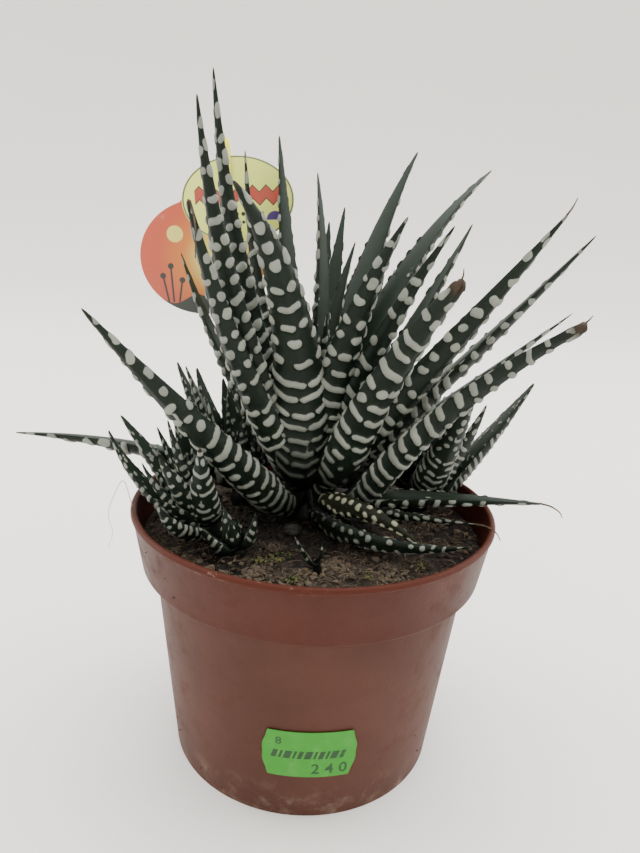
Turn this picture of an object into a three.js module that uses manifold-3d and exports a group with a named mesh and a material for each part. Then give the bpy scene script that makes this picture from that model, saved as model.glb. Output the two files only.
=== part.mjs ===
// A potted haworthia: one large striped rosette and its offsets in a round plastic nursery pot,
// with a two-lobed care card clipped to a stake, and a small price label stuck on the pot.
// Millimetres, +Z up. The origin is the middle of the pot's foot, and -Y is the front.
import * as THREE from "three";
import { mergeVertices } from "three/addons/utils/BufferGeometryUtils.js";
import Module from "manifold-3d";

const wasm = await Module();
wasm.setup();

// ---------- driving dimensions ----------
const GAP = 0.3; // between two pieces that touch

const POT = {
  height: 80,
  rimRadius: 55,
  collarHeight: 18,
  collarFootRadius: 51.7, // the collar flares from here to the rim
  bodyTopRadius: 48,
  footRadius: 41.6,
  wall: 1.4,
  lip: 1.9, // thickness of the rolled lip, which is round in section
  lipOverhang: 0.6, // how far the lip stands out from the collar
  fillet: 0.8, // of the small rounds where two walls meet
  footRound: 1.4,
  footRing: 5, // width of the flat ring that the pot stands on
  hubRadius: 14, // flat disc in the middle of the floor
  channel: 1.4, // depth of the drained channel between ring and hub
  segments: 36,
};
const DRAIN = { count: 6, radius: 3.5, pitchRadius: 26, sides: 8 };
const SOIL = {
  level: 71,
  lump: 0.9, // height of the lumps in its surface
  broadWave: 0.15, // radians per millimetre
  fineWave: 0.45,
  rimDrop: 0.5,
  rings: 5,
  segments: 28,
};
const STEM_DEPTH = 9; // how far a stem stands in its hole in the soil
const STEM_SIDES = 10;

// The mother rosette. Its leaves are listed from the outermost to the innermost, and each root
// sits a little higher on the stem than the one before.
const MOTHER = {
  name: "main_rosette",
  at: [-2, 8],
  lean: 0,
  leanAzimuth: 0,
  stemRadius: 8,
  crownRadius: 2.5,
  rootRadius: 5,
  firstRoot: 6, // height of the outermost root above the soil
  lastRoot: 21,
  bandSpacing: 16,
  keeled: true, // its leaves have a rounded keel, and an offset's are flatter below
  sunk: 4,
};
// azimuth (0 = right, 90 = back), swing of the azimuth along the leaf, rise at the root,
// rise at the tip, length, width, roll of the blade about its own axis, width left at the tip,
// and how far out and up the root sits from its turn on the stem
const MOTHER_LEAVES = [
  [293, 73, -2, 6, 54, 9.5, -45, 0.05, 2.2, -0.5],
  [339, -5, 0, 6, 49, 7.5, -30, 0.05, 0, 0.5],
  [320, 0, 22, -27, 40, 9.5, -60, 0.05, 0, -1],
  [190, -1, 27, 0, 86, 12, 8, 0.05, 0, 0],
  [340, 0, 13, 5, 67, 10, 0, 0.08, 0, 0],
  [84, 0, 26, 36, 84, 12, 0, 0.05, 0, 0],
  [224, -3, 43, 48, 92, 12.5, 38, 0.05, 3.2, -4.9],
  [316, -4, 70, 50, 40, 9, -10, 0.05, 0, 0],
  [118, 0, 34, 46, 92, 12, 0, 0.05, 0, 0],
  [335, 7, 60, 33, 89, 13, -22, 0.24, 9.4, -3.9],
  [70, 0, 40, 48, 90, 12, 0, 0.05, 0, 0],
  [227, 5, 52, 70, 96, 11.5, 10, 0.1, -2.8, 0],
  [5, 0, 38, 38, 93, 9, -15, 0.05, 0, 0],
  [313, -3, 68, 46, 78, 15, -10, 0.24, 5, 3],
  [350, 0, 47, 50, 106, 12, 0, 0.05, 0, 0],
  [338, 0, 53, 54, 104, 13, -35, 0.05, 0, 0],
  [165, -1, 50, 67, 78, 10, 0, 0.05, 0, 0],
  [220, -4, 60, 82, 112, 12, 15, 0.05, 0, 0],
  [252, -12, 93, 37, 94, 16.5, 38, 0.05, 6.2, 2.8],
  [45, -10, 74, 35, 121, 14, 0, 0.05, 0, 0],
  [20, 0, 59, 61, 90, 12, 0, 0.05, 0, 0],
  [200, -7, 68, 84, 116, 12, 30, 0.05, 0, 0],
  [88, 0, 60, 62, 86, 11, 0, 0.05, 0, 0],
  [330, 0, 74, 55, 84, 13, -10, 0.05, 0, 0],
  [60, -9, 77, 50, 111, 13, 0, 0.05, 0, 0],
  [300, 4, 82, 48, 85, 14, 0, 0.05, 0, 0],
  [150, 2, 67, 83, 96, 10, 50, 0.05, 0, 0],
  [136, 0, 80, 80, 98, 11, 0, 0.05, 0, 0],
  [130, -8, 106, 72, 87, 10, 20, 0.05, 0, 0],
  [80, 0, 76, 55, 85, 10, 0, 0.05, 0, 0],
  [50, 0, 94, 64, 68, 9, 0, 0.05, 0, 0],
  [185, 0, 84, 88, 58, 8, 0, 0.05, 0, 0],
  [290, 0, 86, 80, 46, 7, 0, 0.05, 0, 0],
];

// The leaves of the two left offsets, in the same columns.
const LEFT_OFFSET_LEAVES = [
  [249, -2, 13, 56, 26, 8.5, 12, 0.1, 0.8, -1.2],
  [228, 2, 43, 33, 20, 7, 6, 0.1, -1, -1.8],
  [190, -2, 33, 67, 36, 8, -12, 0.08, 1.3, -1.7],
  [171, -1, 48, 49, 36, 9, -10, 0.08, -0.4, -0.3],
  [230, -3, 50, 57, 27, 10.5, 16, 0.08, -2.2, -1.6],
  [265, 4, 60, 74, 27, 9.5, 0, 0.08, 0, -1.5],
  [202, -1, 35, 64, 22, 6, 0, 0.08, 1.8, -1.5],
  [150, 0, 66, 70, 30, 8.5, 0, 0.08, 0, 0],
  [171, 0, 56, 63, 27, 6.5, 1, 0.08, -0.2, -1.9],
  [200, 0, 66, 72, 27, 7.5, 0, 0.08, 0, 0],
  [222, 0, 66, 72, 16, 6.5, 0, 0.08, 0, 0],
  [150, 0, 74, 72, 22, 6.5, 0, 0.08, 0, 0],
];

const LEFT_BACK_OFFSET_LEAVES = [
  [181, 0, 50, 62, 40, 10, 0, 0.08, 0, 0],
  [192, 0, 46, 58, 36, 9.5, 0, 0.08, 0, 0],
  [10, 0, 70, 84, 15, 7.5, 0, 0.08, -2, -1.5],
  [169, 0, 58, 65, 42, 10.5, 0, 0.08, 0, 0],
  [207, 0, 64, 76, 31, 9, 0, 0.08, -1, -2],
  [153, 0, 56, 70, 37, 11, 0, 0.08, 0, 0],
  [320, 0, 76, 88, 16, 7.5, 0, 0.08, -2, -1.5],
  [182, 0, 62, 66, 38, 9, 0, 0.08, 0, 0],
  [130, 0, 60, 70, 30, 9, 0, 0.08, 0, 0],
  [90, 0, 76, 84, 22, 8.5, 0, 0.08, 0, -1],
  [142, 0, 74, 80, 30, 8, 0, 0.08, 0, 0],
  [230, 0, 84, 98, 16.5, 7, 0, 0.08, 0, 0],
];

// The offsets: small rosettes round the mother, each leaning out from it. Where none are listed,
// their leaves follow the golden angle from the outermost, which rises by the spread, to the
// innermost. A leaf that has no room between its neighbours is left out.
const OFFSETS = [
  {
    name: "left_offset",
    at: [-30, -11],
    lean: 0,
    leanAzimuth: 0,
    listed: LEFT_OFFSET_LEAVES,
    length: 42,
    width: 12,
  },
  {
    name: "left_front_offset",
    at: [-21, -22],
    lean: 10,
    leanAzimuth: 240,
    spread: 48,
    leaves: 5,
    length: 11.5,
    width: 7,
    firstAzimuth: 215,
    crowded: [],
  },
  {
    name: "left_back_offset",
    at: [-23, 17],
    lean: 0,
    leanAzimuth: 0,
    listed: LEFT_BACK_OFFSET_LEAVES,
    length: 47,
    width: 12,
  },
  {
    name: "right_offset",
    at: [32.5, 18.5],
    lean: 14,
    leanAzimuth: 5,
    spread: 62,
    leaves: 12,
    length: 47,
    width: 12.5,
    firstAzimuth: 2,
    crowded: [4, 7],
  },
  {
    name: "right_back_offset",
    at: [14, 36.5],
    lean: 8,
    leanAzimuth: 60,
    spread: 64,
    leaves: 8,
    length: 38,
    width: 11,
    firstAzimuth: 60,
    crowded: [1, 4],
  },
  {
    name: "back_offset",
    at: [-12, 38.7],
    lean: 12,
    leanAzimuth: 110,
    spread: 62,
    leaves: 7,
    length: 28,
    width: 9,
    firstAzimuth: 110,
    crowded: [1],
  },
  {
    name: "front_seedling",
    at: [2, -31.5],
    lean: 0,
    leanAzimuth: 0,
    spread: 58,
    leaves: 2,
    length: 11,
    width: 3,
    firstAzimuth: 200,
    crowded: [],
  },
];
const GOLDEN_ANGLE = 137.5;
const INNERMOST_RISE = 84; // of an offset's last leaf
const SCATTER = 12.9898; // a sine stepped by this makes each leaf differ from its neighbours

// How a leaf's width and relief run along it.
const LEAF = {
  widestAt: 0.14,
  rootWidth: 0.84, // of the full width
  taper: 1.3, // 1 would be a straight taper to the tip
  leastHalfWidth: 0.5,
  depth: 0.78, // of the lower, keeled side, to half the width
  depthAtTip: 0.95,
  crown: 0.14, // of the upper side, to half the width
  leastDepth: 0.5,
  leastCrown: 0.15,
  band: 0.6, // height of the raised white bands
  fullBandFrom: 3, // half width from which a band has its full height
  shoulder: 0.62, // where the lower side turns, to half the width
  shoulderDepth: 0.74,
  elbow: 58, // degrees by which a leaf turns up close to its root
  elbowShare: 0.14, // of the length, within which it has turned
};

// The stake leans to the left with its card. Places on both are measured along the stake, from
// where it leaves the soil.
const STAKE = {
  at: [-25.3, 30],
  lean: 4.5,
  top: 115,
  depth: 20, // in the soil
  width: 4,
  thickness: 1.2,
  tongue: 7, // how far the tongue that clips the card reaches down its front
  tongueThickness: 0.8,
};
const CARD = {
  thickness: 0.8,
  upper: { across: 3.5, up: 96.4, halfWidth: 17.7, halfHeight: 13.1 },
  lower: { across: -8.7, up: 79.1, halfWidth: 20.3, halfHeight: 18 },
  segments: 18, // round each oval
};

const PRICE = {
  width: 26,
  height: 16,
  thickness: 0.3,
  azimuth: 273.6,
  middle: 23.5, // height of its middle
  waves: 3, // bites in each of its short sides
  biteDepth: 0.8,
  columns: 6,
  rows: 12,
};

const PEBBLE = { at: [-6, -8.5], radius: 2.4, stretch: 1.1, squash: 0.8, segments: 10, rings: 6 };

// ---------- helpers ----------
const rad = THREE.MathUtils.degToRad;
const mix = THREE.MathUtils.lerp;
const clamp = THREE.MathUtils.clamp;

function solidOf(geometry) {
  const bare = new THREE.BufferGeometry();
  bare.setAttribute("position", geometry.getAttribute("position"));
  if (geometry.index) bare.setIndex(geometry.index);
  const merged = mergeVertices(bare, 1e-4);
  return new wasm.Manifold(
    new wasm.Mesh({
      numProp: 3,
      vertProperties: merged.getAttribute("position").array,
      triVerts: new Uint32Array(merged.index.array),
    }),
  );
}

function geometryOf(solid) {
  const mesh = solid.getMesh();
  const geometry = new THREE.BufferGeometry();
  geometry.setAttribute("position", new THREE.BufferAttribute(mesh.vertProperties, 3));
  geometry.setIndex(new THREE.BufferAttribute(mesh.triVerts, 1));
  const flat = geometry.toNonIndexed();
  flat.computeVertexNormals();
  return flat;
}

// The outer skin of the largest body: a hollow that joined leaves close off is filled.
function outerBody(solid) {
  const bodies = solid.decompose();
  return bodies.reduce((a, b) => (b.volume() > a.volume() ? b : a));
}

function joined(solids) {
  return outerBody(wasm.Manifold.union(solids));
}

// Turns a profile of [radius, height] pairs round the Z axis.
function turned(profile, segments) {
  const points = profile.map(([r, z]) => new THREE.Vector2(r, z));
  const geometry = new THREE.LatheGeometry(points, segments);
  geometry.rotateX(Math.PI / 2);
  return geometry;
}

// A closed skin over rings of points that all have the same count, with flat ends.
function skinOver(rings) {
  const sides = rings[0].length;
  const positions = rings.flat().flatMap((p) => [p.x, p.y, p.z]);
  const faces = [];
  for (let i = 0; i + 1 < rings.length; i++) {
    for (let k = 0; k < sides; k++) {
      const next = (k + 1) % sides;
      const a = i * sides + k;
      const b = i * sides + next;
      const c = a + sides;
      const d = b + sides;
      faces.push(a, b, d, a, d, c);
    }
  }
  const last = (rings.length - 1) * sides;
  for (let k = 1; k + 1 < sides; k++) {
    faces.push(0, k + 1, k);
    faces.push(last, last + k, last + k + 1);
  }
  const geometry = new THREE.BufferGeometry();
  geometry.setAttribute("position", new THREE.Float32BufferAttribute(positions, 3));
  geometry.setIndex(faces);
  return geometry;
}

// ---------- pot ----------
// Outer radius of the tapering body at a height.
function bodyRadius(z) {
  const top = POT.height - POT.collarHeight;
  return mix(POT.footRadius, POT.bodyTopRadius, clamp(z / top, 0, 1));
}

function collarRadius(z) {
  const foot = POT.height - POT.collarHeight;
  const top = POT.height - POT.lip;
  const share = (z - foot) / (top - foot);
  return mix(POT.collarFootRadius, POT.rimRadius - POT.lipOverhang, share);
}

// Inner wall of the pot, from the floor up to the lip.
function innerWall() {
  const shelf = POT.height - POT.collarHeight;
  const floor = POT.channel + POT.wall;
  const round = 2 * POT.fillet;
  return [
    [bodyRadius(floor) - POT.wall - POT.fillet, floor],
    [bodyRadius(floor + round) - POT.wall, floor + round],
    [bodyRadius(shelf - round) - POT.wall, shelf - round],
    [collarRadius(shelf) - POT.wall - 0.5 * POT.fillet, shelf + 0.5 * POT.fillet],
    [collarRadius(shelf + round) - POT.wall, shelf + round],
    [collarRadius(POT.height - POT.lip) - POT.wall, POT.height - POT.lip],
  ];
}

// The lip's round section, from under its overhang to its inner side.
function lipProfile() {
  const radius = 0.5 * POT.lip;
  return [-50, 0, 45, 90, 135, 180].map((turn) => [
    POT.rimRadius - radius * (1 - Math.cos(rad(turn))),
    POT.height - radius * (1 - Math.sin(rad(turn))),
  ]);
}

function potSolid() {
  const shelf = POT.height - POT.collarHeight;
  const ringInner = POT.footRadius - POT.footRound - POT.footRing;
  const footBend = POT.footRound * (1 - Math.SQRT1_2);
  const outside = [
    [0, 0],
    [POT.hubRadius, 0],
    [POT.hubRadius + POT.channel, POT.channel],
    [ringInner - POT.channel, POT.channel],
    [ringInner, 0],
    [POT.footRadius - POT.footRound, 0],
    [bodyRadius(POT.footRound) - footBend, footBend],
    [bodyRadius(POT.footRound), POT.footRound],
    [bodyRadius(shelf - POT.fillet), shelf - POT.fillet],
    [bodyRadius(shelf) + 0.75 * POT.fillet, shelf - 0.25 * POT.fillet],
    [POT.collarFootRadius - POT.fillet, shelf],
    [collarRadius(shelf + POT.fillet), shelf + POT.fillet],
    [collarRadius(POT.height - POT.lip), POT.height - POT.lip],
    ...lipProfile(),
  ];
  const floor = POT.channel + POT.wall;
  const hubWall = 0.6 * POT.wall; // the slope round the hub moves inwards by this
  const inside = [
    ...innerWall().reverse(),
    [POT.hubRadius + POT.channel - hubWall, floor],
    [POT.hubRadius - hubWall, POT.wall],
    [0, POT.wall],
  ];
  let pot = solidOf(turned([...outside, ...inside], POT.segments));
  const drillLength = 4 * floor;
  for (let i = 0; i < DRAIN.count; i++) {
    const angle = ((i + 0.5) / DRAIN.count) * 2 * Math.PI;
    const drill = new THREE.CylinderGeometry(DRAIN.radius, DRAIN.radius, drillLength, DRAIN.sides);
    drill.rotateX(Math.PI / 2);
    drill.translate(
      DRAIN.pitchRadius * Math.cos(angle),
      DRAIN.pitchRadius * Math.sin(angle),
      POT.channel,
    );
    pot = pot.subtract(solidOf(drill));
  }
  return pot;
}

// ---------- soil ----------
// Low lumps and hollows in the surface of the soil.
function soilHeight(x, y) {
  const broad = Math.sin(SOIL.broadWave * x + 0.7) * Math.cos(SOIL.broadWave * y - 0.4);
  const fine = Math.sin(SOIL.fineWave * (x - 0.7 * y) + 1.9) * Math.cos(SOIL.fineWave * (y + 0.5 * x));
  return SOIL.level + SOIL.lump * (0.6 * broad + 0.4 * fine);
}

// A plain round hole in the soil for whatever stands in it.
function holeFor(x, y, radius, depth) {
  const hole = new THREE.CylinderGeometry(radius, radius, 2 * depth, STEM_SIDES);
  hole.rotateX(Math.PI / 2);
  hole.translate(x, y, SOIL.level);
  return solidOf(hole);
}

// The hole for the stake leans with it and leaves room for its round corners.
function stakeHole() {
  const radius = 0.5 * STAKE.width + 2 * GAP;
  const hole = new THREE.CylinderGeometry(radius, radius, 2 * (STAKE.depth + GAP), STEM_SIDES);
  hole.rotateX(Math.PI / 2);
  hole.translate(0, 0.5 * STAKE.thickness, 0);
  return placedOnStake(solidOf(hole));
}

function soilSolid(holes) {
  const flats = Math.cos(Math.PI / POT.segments); // the pot's facets cut inside its round wall
  const edge = innerWall().slice(0, 5).map(([r, z]) => [flats * r - GAP, z + GAP]);
  const edgeTop = SOIL.level - SOIL.rimDrop;
  const top = flats * (collarRadius(edgeTop) - POT.wall) - GAP;
  const profile = [[0, edge[0][1]], ...edge, [top, edgeTop]];
  for (let i = 1; i <= SOIL.rings; i++) {
    profile.push([top * (1 - i / SOIL.rings), SOIL.level]);
  }
  const geometry = turned(profile, SOIL.segments);
  const p = geometry.getAttribute("position");
  for (let i = 0; i < p.count; i++) {
    if (p.getZ(i) > SOIL.level - 0.01) p.setZ(i, soilHeight(p.getX(i), p.getY(i)));
  }
  let soil = solidOf(geometry);
  for (const hole of holes) soil = soil.subtract(hole);
  return soil;
}

// ---------- leaves ----------
// Half width, keeled depth and crown of a leaf, from 0 at its root to 1 at its tip.
function leafSection(leaf, s) {
  const beyond = clamp((s - LEAF.widestAt) / (1 - LEAF.widestAt), 0, 1);
  const swell = clamp(s / LEAF.widestAt, 0, 1);
  const share =
    s < LEAF.widestAt
      ? mix(LEAF.rootWidth, 1, Math.sin((swell * Math.PI) / 2))
      : mix(1, leaf.tip, beyond ** LEAF.taper);
  const half = Math.max(LEAF.leastHalfWidth, 0.5 * leaf.width * share);
  const depth = Math.max(LEAF.leastDepth, half * mix(LEAF.depth, LEAF.depthAtTip, s));
  return { half, depth, crown: Math.max(LEAF.leastCrown, half * LEAF.crown) };
}

// Direction of the leaf at s: its azimuth and its rise both change evenly along it, and close to
// the root it still lies out from the stem.
function leafAxes(leaf, s, elbow = LEAF.elbow) {
  const azimuth = rad(leaf.azimuth + leaf.swing * s);
  const turning = clamp(1 - s / LEAF.elbowShare, 0, 1);
  const rise = rad(mix(leaf.rise0, leaf.rise1, s) - elbow * turning ** 2);
  const along = new THREE.Vector3(
    Math.cos(rise) * Math.cos(azimuth),
    Math.cos(rise) * Math.sin(azimuth),
    Math.sin(rise),
  );
  const side = new THREE.Vector3(-Math.sin(azimuth), Math.cos(azimuth), 0);
  side.applyAxisAngle(along, rad(leaf.roll));
  const lower = new THREE.Vector3().crossVectors(side, along);
  return { along, side, lower };
}

// Where the elbow of a leaf is: the blade beyond it is that of a leaf with none.
function elbowPoint(leaf) {
  const azimuth = rad(leaf.azimuth);
  const point = new THREE.Vector3(
    leaf.rootRadius * Math.cos(azimuth),
    leaf.rootRadius * Math.sin(azimuth),
    leaf.rootHeight,
  );
  const count = 8;
  const step = LEAF.elbowShare / count;
  for (let i = 0; i < count; i++) {
    point.addScaledVector(leafAxes(leaf, (i + 0.5) * step, 0).along, step * leaf.length);
  }
  return point;
}

// Where a leaf has its rings: one sunk in the stem, three to the elbow and then evenly.
function ringShares(rosette, leaf) {
  const blade = 2 * Math.max(2, Math.round(leaf.length / rosette.bandSpacing)) - 2;
  const shares = [-rosette.sunk / leaf.length, 0, 0.5 * LEAF.elbowShare, LEAF.elbowShare];
  for (let i = 1; i <= blade; i++) shares.push(mix(LEAF.elbowShare, 1, i / blade));
  return shares;
}

// One leaf: a keeled blade whose lower side carries raised bands. It is built in its rosette's
// own frame, with the rosette's axis upright and the soil at zero height.
function leafSolid(rosette, leaf) {
  const shares = ringShares(rosette, leaf);
  const centres = [new THREE.Vector3()];
  for (let i = 1; i < shares.length; i++) {
    const { along } = leafAxes(leaf, clamp(0.5 * (shares[i - 1] + shares[i]), 0, 1));
    const step = (shares[i] - shares[i - 1]) * leaf.length;
    centres.push(centres[i - 1].clone().addScaledVector(along, step));
  }
  const shift = elbowPoint(leaf).sub(centres[shares.indexOf(LEAF.elbowShare)]);
  const rings = shares.map((share, i) => {
    const s = clamp(share, 0, 1);
    const { side, lower } = leafAxes(leaf, s);
    const { half, depth, crown } = leafSection(leaf, s);
    const crest = i > 0 && i % 2 === 0;
    const band = crest ? LEAF.band * clamp(half / LEAF.fullBandFrom, 0.2, 1) : 0;
    const centre = centres[i].clone().add(shift);
    const at = (across, down) =>
      centre.clone().addScaledVector(side, across).addScaledVector(lower, down);
    const shoulder = LEAF.shoulder * half + 0.6 * band;
    const shoulderDepth = LEAF.shoulderDepth * depth + 0.8 * band;
    return [
      at(-half, 0),
      at(-shoulder, shoulderDepth),
      ...(rosette.keeled ? [at(0, depth + band)] : []),
      at(shoulder, shoulderDepth),
      at(half, 0),
      at(0, -crown),
    ];
  });
  return solidOf(skinOver(rings));
}

// The crown that the leaves grow from, over the soil, and the plug below it in its hole.
function crownSolid(rosette) {
  const profile = [
    [0, 0],
    [0.8 * rosette.stemRadius, 0],
    [rosette.stemRadius, 0.3 * rosette.firstRoot],
    [rosette.crownRadius, rosette.lastRoot],
    [0, rosette.lastRoot + rosette.crownRadius],
  ];
  return solidOf(turned(profile, STEM_SIDES));
}

function plugSolid(rosette) {
  const profile = [
    [0, -STEM_DEPTH],
    [rosette.stemRadius, -STEM_DEPTH],
    [rosette.stemRadius, 0.5],
    [0, 0.5],
  ];
  return solidOf(turned(profile, STEM_SIDES));
}

// Leaves listed by hand, from the outermost to the innermost.
function listedLeaves(rosette, rows) {
  return rows.map(([azimuth, swing, rise0, rise1, length, width, roll, tip, out, up], i) => {
    const rank = i / (rows.length - 1);
    return {
      azimuth,
      swing,
      rise0,
      rise1,
      length,
      width,
      roll,
      tip,
      rootHeight: mix(rosette.firstRoot, rosette.lastRoot, rank) + up,
      rootRadius: mix(rosette.rootRadius, rosette.crownRadius, rank * rank) + out,
    };
  });
}

// Leaves by the golden angle, for an offset: flatter and longer outside, steep and short inside.
function offsetLeaves(rosette) {
  if (rosette.listed) return listedLeaves(rosette, rosette.listed);
  const leaves = [];
  for (let i = 0; i < rosette.leaves; i++) {
    if (rosette.crowded.includes(i)) continue;
    const rank = i / (rosette.leaves - 1);
    const uneven = Math.sin(SCATTER * i + rosette.firstAzimuth);
    const rise = mix(rosette.spread, INNERMOST_RISE, rank ** 0.8) + 3 * uneven;
    leaves.push({
      azimuth: rosette.firstAzimuth + GOLDEN_ANGLE * i,
      swing: 6 * uneven,
      rise0: rise,
      rise1: mix(rise + 4, INNERMOST_RISE + 2, rank),
      length: rosette.length * mix(1, 0.5, rank) * (1 + 0.08 * uneven),
      width: rosette.width * mix(1, 0.55, rank),
      roll: 0,
      tip: 0.08,
      rootHeight: mix(rosette.firstRoot, rosette.lastRoot, rank),
      rootRadius: mix(rosette.rootRadius, rosette.crownRadius, rank),
    });
  }
  return leaves;
}

// What an offset doesn't state follows from its width and length.
function filledOut(offset) {
  return {
    ...offset,
    stemRadius: 0.44 * offset.width,
    crownRadius: 0.16 * offset.width,
    rootRadius: 0.38 * offset.width,
    firstRoot: 0.08 * offset.length + 2.5,
    lastRoot: 0.24 * offset.length + 2.5,
    bandSpacing: offset.length / 3,
    keeled: false,
    sunk: 0.25 * offset.width,
  };
}

// The plug stands upright in the soil, and the crown leans with its leaves.
function rosetteSolid(rosette, leaves) {
  const foot = new THREE.Vector3(rosette.at[0], rosette.at[1], SOIL.level);
  const azimuth = rad(rosette.leanAzimuth);
  const axis = new THREE.Vector3(-Math.sin(azimuth), Math.cos(azimuth), 0);
  const leaning = new THREE.Matrix4().makeRotationAxis(axis, rad(rosette.lean));
  leaning.setPosition(foot);
  const upright = new THREE.Matrix4().setPosition(foot);
  const grown = [crownSolid(rosette), ...leaves.map((leaf) => leafSolid(rosette, leaf))];
  const placed = grown.map((solid) => solid.transform(leaning.elements));
  return joined([plugSolid(rosette).transform(upright.elements), ...placed]);
}

// ---------- card, stake and price label ----------
// Takes a solid from the stake's own frame, with X across and Z up along it, into the part's.
function placedOnStake(solid) {
  const placed = new THREE.Matrix4().makeRotationY(rad(-STAKE.lean));
  placed.setPosition(STAKE.at[0], STAKE.at[1], SOIL.level);
  return solid.transform(placed.elements);
}

// A flat outline, given as X and Z, made solid from its front face to the back.
function plate(shape, front, thickness, curveSegments) {
  const geometry = new THREE.ExtrudeGeometry(shape, {
    depth: thickness,
    bevelEnabled: false,
    curveSegments,
  });
  geometry.rotateX(Math.PI / 2);
  geometry.translate(0, front + thickness, 0);
  return solidOf(geometry);
}

// One card in the outline of two ovals that overlap. Its back lies against the stake.
function cardSolid() {
  const lobes = [CARD.upper, CARD.lower].map(({ across, up, halfWidth, halfHeight }) => {
    const shape = new THREE.Shape();
    shape.absellipse(across, up, halfWidth, halfHeight, 0, 2 * Math.PI);
    return plate(shape, -CARD.thickness - GAP, CARD.thickness, CARD.segments);
  });
  return placedOnStake(joined(lobes));
}

// A flat bar with a round top. A short tongue comes down from it in front of the card.
function stakeSolid() {
  const bar = (bottom, front, thickness) => {
    const half = 0.5 * STAKE.width;
    const shape = new THREE.Shape();
    shape.moveTo(-half, bottom);
    shape.lineTo(half, bottom);
    shape.lineTo(half, STAKE.top - half);
    shape.absarc(0, STAKE.top - half, half, 0, Math.PI);
    return plate(shape, front, thickness, 8);
  };
  const cardTop = CARD.upper.up + CARD.upper.halfHeight;
  const slot = CARD.thickness + 2 * GAP;
  const front = -slot - STAKE.tongueThickness;
  const blade = bar(-STAKE.depth, 0, STAKE.thickness);
  const tongue = bar(cardTop - STAKE.tongue, front, STAKE.tongueThickness);
  const bridge = bar(cardTop + 2 * GAP, front + 0.5 * GAP, GAP - front);
  return placedOnStake(joined([blade, tongue, bridge]));
}

// The price label follows the pot's wall, and its two short sides are bitten in waves.
function priceSolid() {
  const point = (column, row, outward) => {
    const v = row / PRICE.rows;
    const bite = PRICE.biteDepth * Math.abs(Math.sin(PRICE.waves * Math.PI * v));
    const u = (2 * column) / PRICE.columns - 1;
    const across = u * (0.5 * PRICE.width - bite);
    const z = PRICE.middle + (v - 0.5) * PRICE.height;
    const radius = bodyRadius(z) + GAP + outward;
    const angle = rad(PRICE.azimuth) + across / bodyRadius(PRICE.middle);
    return new THREE.Vector3(radius * Math.cos(angle), radius * Math.sin(angle), z);
  };
  const rings = [];
  for (let row = 0; row <= PRICE.rows; row++) {
    const ring = [];
    for (let column = 0; column <= PRICE.columns; column++) {
      ring.push(point(column, row, PRICE.thickness));
    }
    for (let column = PRICE.columns; column >= 0; column--) {
      ring.push(point(column, row, 0));
    }
    rings.push(ring);
  }
  return solidOf(stripSkin(rings));
}

// Like skinOver, for a flat strip whose ends are closed by quads from one face to the other.
function stripSkin(rings) {
  const sides = rings[0].length;
  const open = skinOver(rings);
  const body = (rings.length - 1) * sides * 6;
  const faces = Array.from(open.index.array.slice(0, body));
  const last = (rings.length - 1) * sides;
  for (let k = 0; k + 1 < sides / 2; k++) {
    const far = sides - 1 - k;
    faces.push(k, far, k + 1, k + 1, far, far - 1);
    faces.push(last + k, last + k + 1, last + far, last + k + 1, last + far - 1, last + far);
  }
  open.setIndex(faces);
  return open;
}

// A lump of perlite on the soil.
function pebbleSolid() {
  const ball = new THREE.SphereGeometry(PEBBLE.radius, PEBBLE.segments, PEBBLE.rings);
  ball.scale(PEBBLE.stretch, 1, PEBBLE.squash);
  const [x, y] = PEBBLE.at;
  ball.translate(x, y, soilHeight(x, y) + PEBBLE.squash * PEBBLE.radius + 0.3 * GAP);
  return solidOf(ball);
}

// ---------- the part ----------
const finishes = {
  plastic: { color: 0x8a4a3a, roughness: 0.55 },
  earth: { color: 0x33261d, roughness: 1 },
  leaf: { color: 0x29382c, roughness: 0.6 },
  stake: { color: 0xd9d96a, roughness: 0.5 },
  card: { color: 0xc3cc72, roughness: 0.45 },
  price: { color: 0x3be04f, roughness: 0.6 },
  perlite: { color: 0x4a4b47, roughness: 0.9 },
};

const part = new THREE.Group();
part.name = "potted_haworthia";

function addPiece(name, solid, finish) {
  const material = new THREE.MeshStandardMaterial({ ...finishes[finish], metalness: 0 });
  const mesh = new THREE.Mesh(geometryOf(solid), material);
  mesh.name = name;
  part.add(mesh);
}

const offsets = OFFSETS.map(filledOut);
const holes = [MOTHER, ...offsets].map((rosette) =>
  holeFor(rosette.at[0], rosette.at[1], rosette.stemRadius + GAP, STEM_DEPTH + GAP),
);
holes.push(stakeHole());

addPiece("pot", potSolid(), "plastic");
addPiece("soil", soilSolid(holes), "earth");
addPiece(MOTHER.name, rosetteSolid(MOTHER, listedLeaves(MOTHER, MOTHER_LEAVES)), "leaf");
for (const offset of offsets) {
  addPiece(offset.name, rosetteSolid(offset, offsetLeaves(offset)), "leaf");
}
addPiece("label_stake", stakeSolid(), "stake");
addPiece("label_card", cardSolid(), "card");
addPiece("price_label", priceSolid(), "price");
addPiece("perlite_lump", pebbleSolid(), "perlite");

export default part;
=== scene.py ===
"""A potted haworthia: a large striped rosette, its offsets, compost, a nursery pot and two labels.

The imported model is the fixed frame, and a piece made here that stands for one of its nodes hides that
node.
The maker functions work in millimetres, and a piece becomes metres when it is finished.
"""

import math
import random

import bmesh
import bpy
import numpy as np
from mathutils import Matrix, Vector, noise


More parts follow.
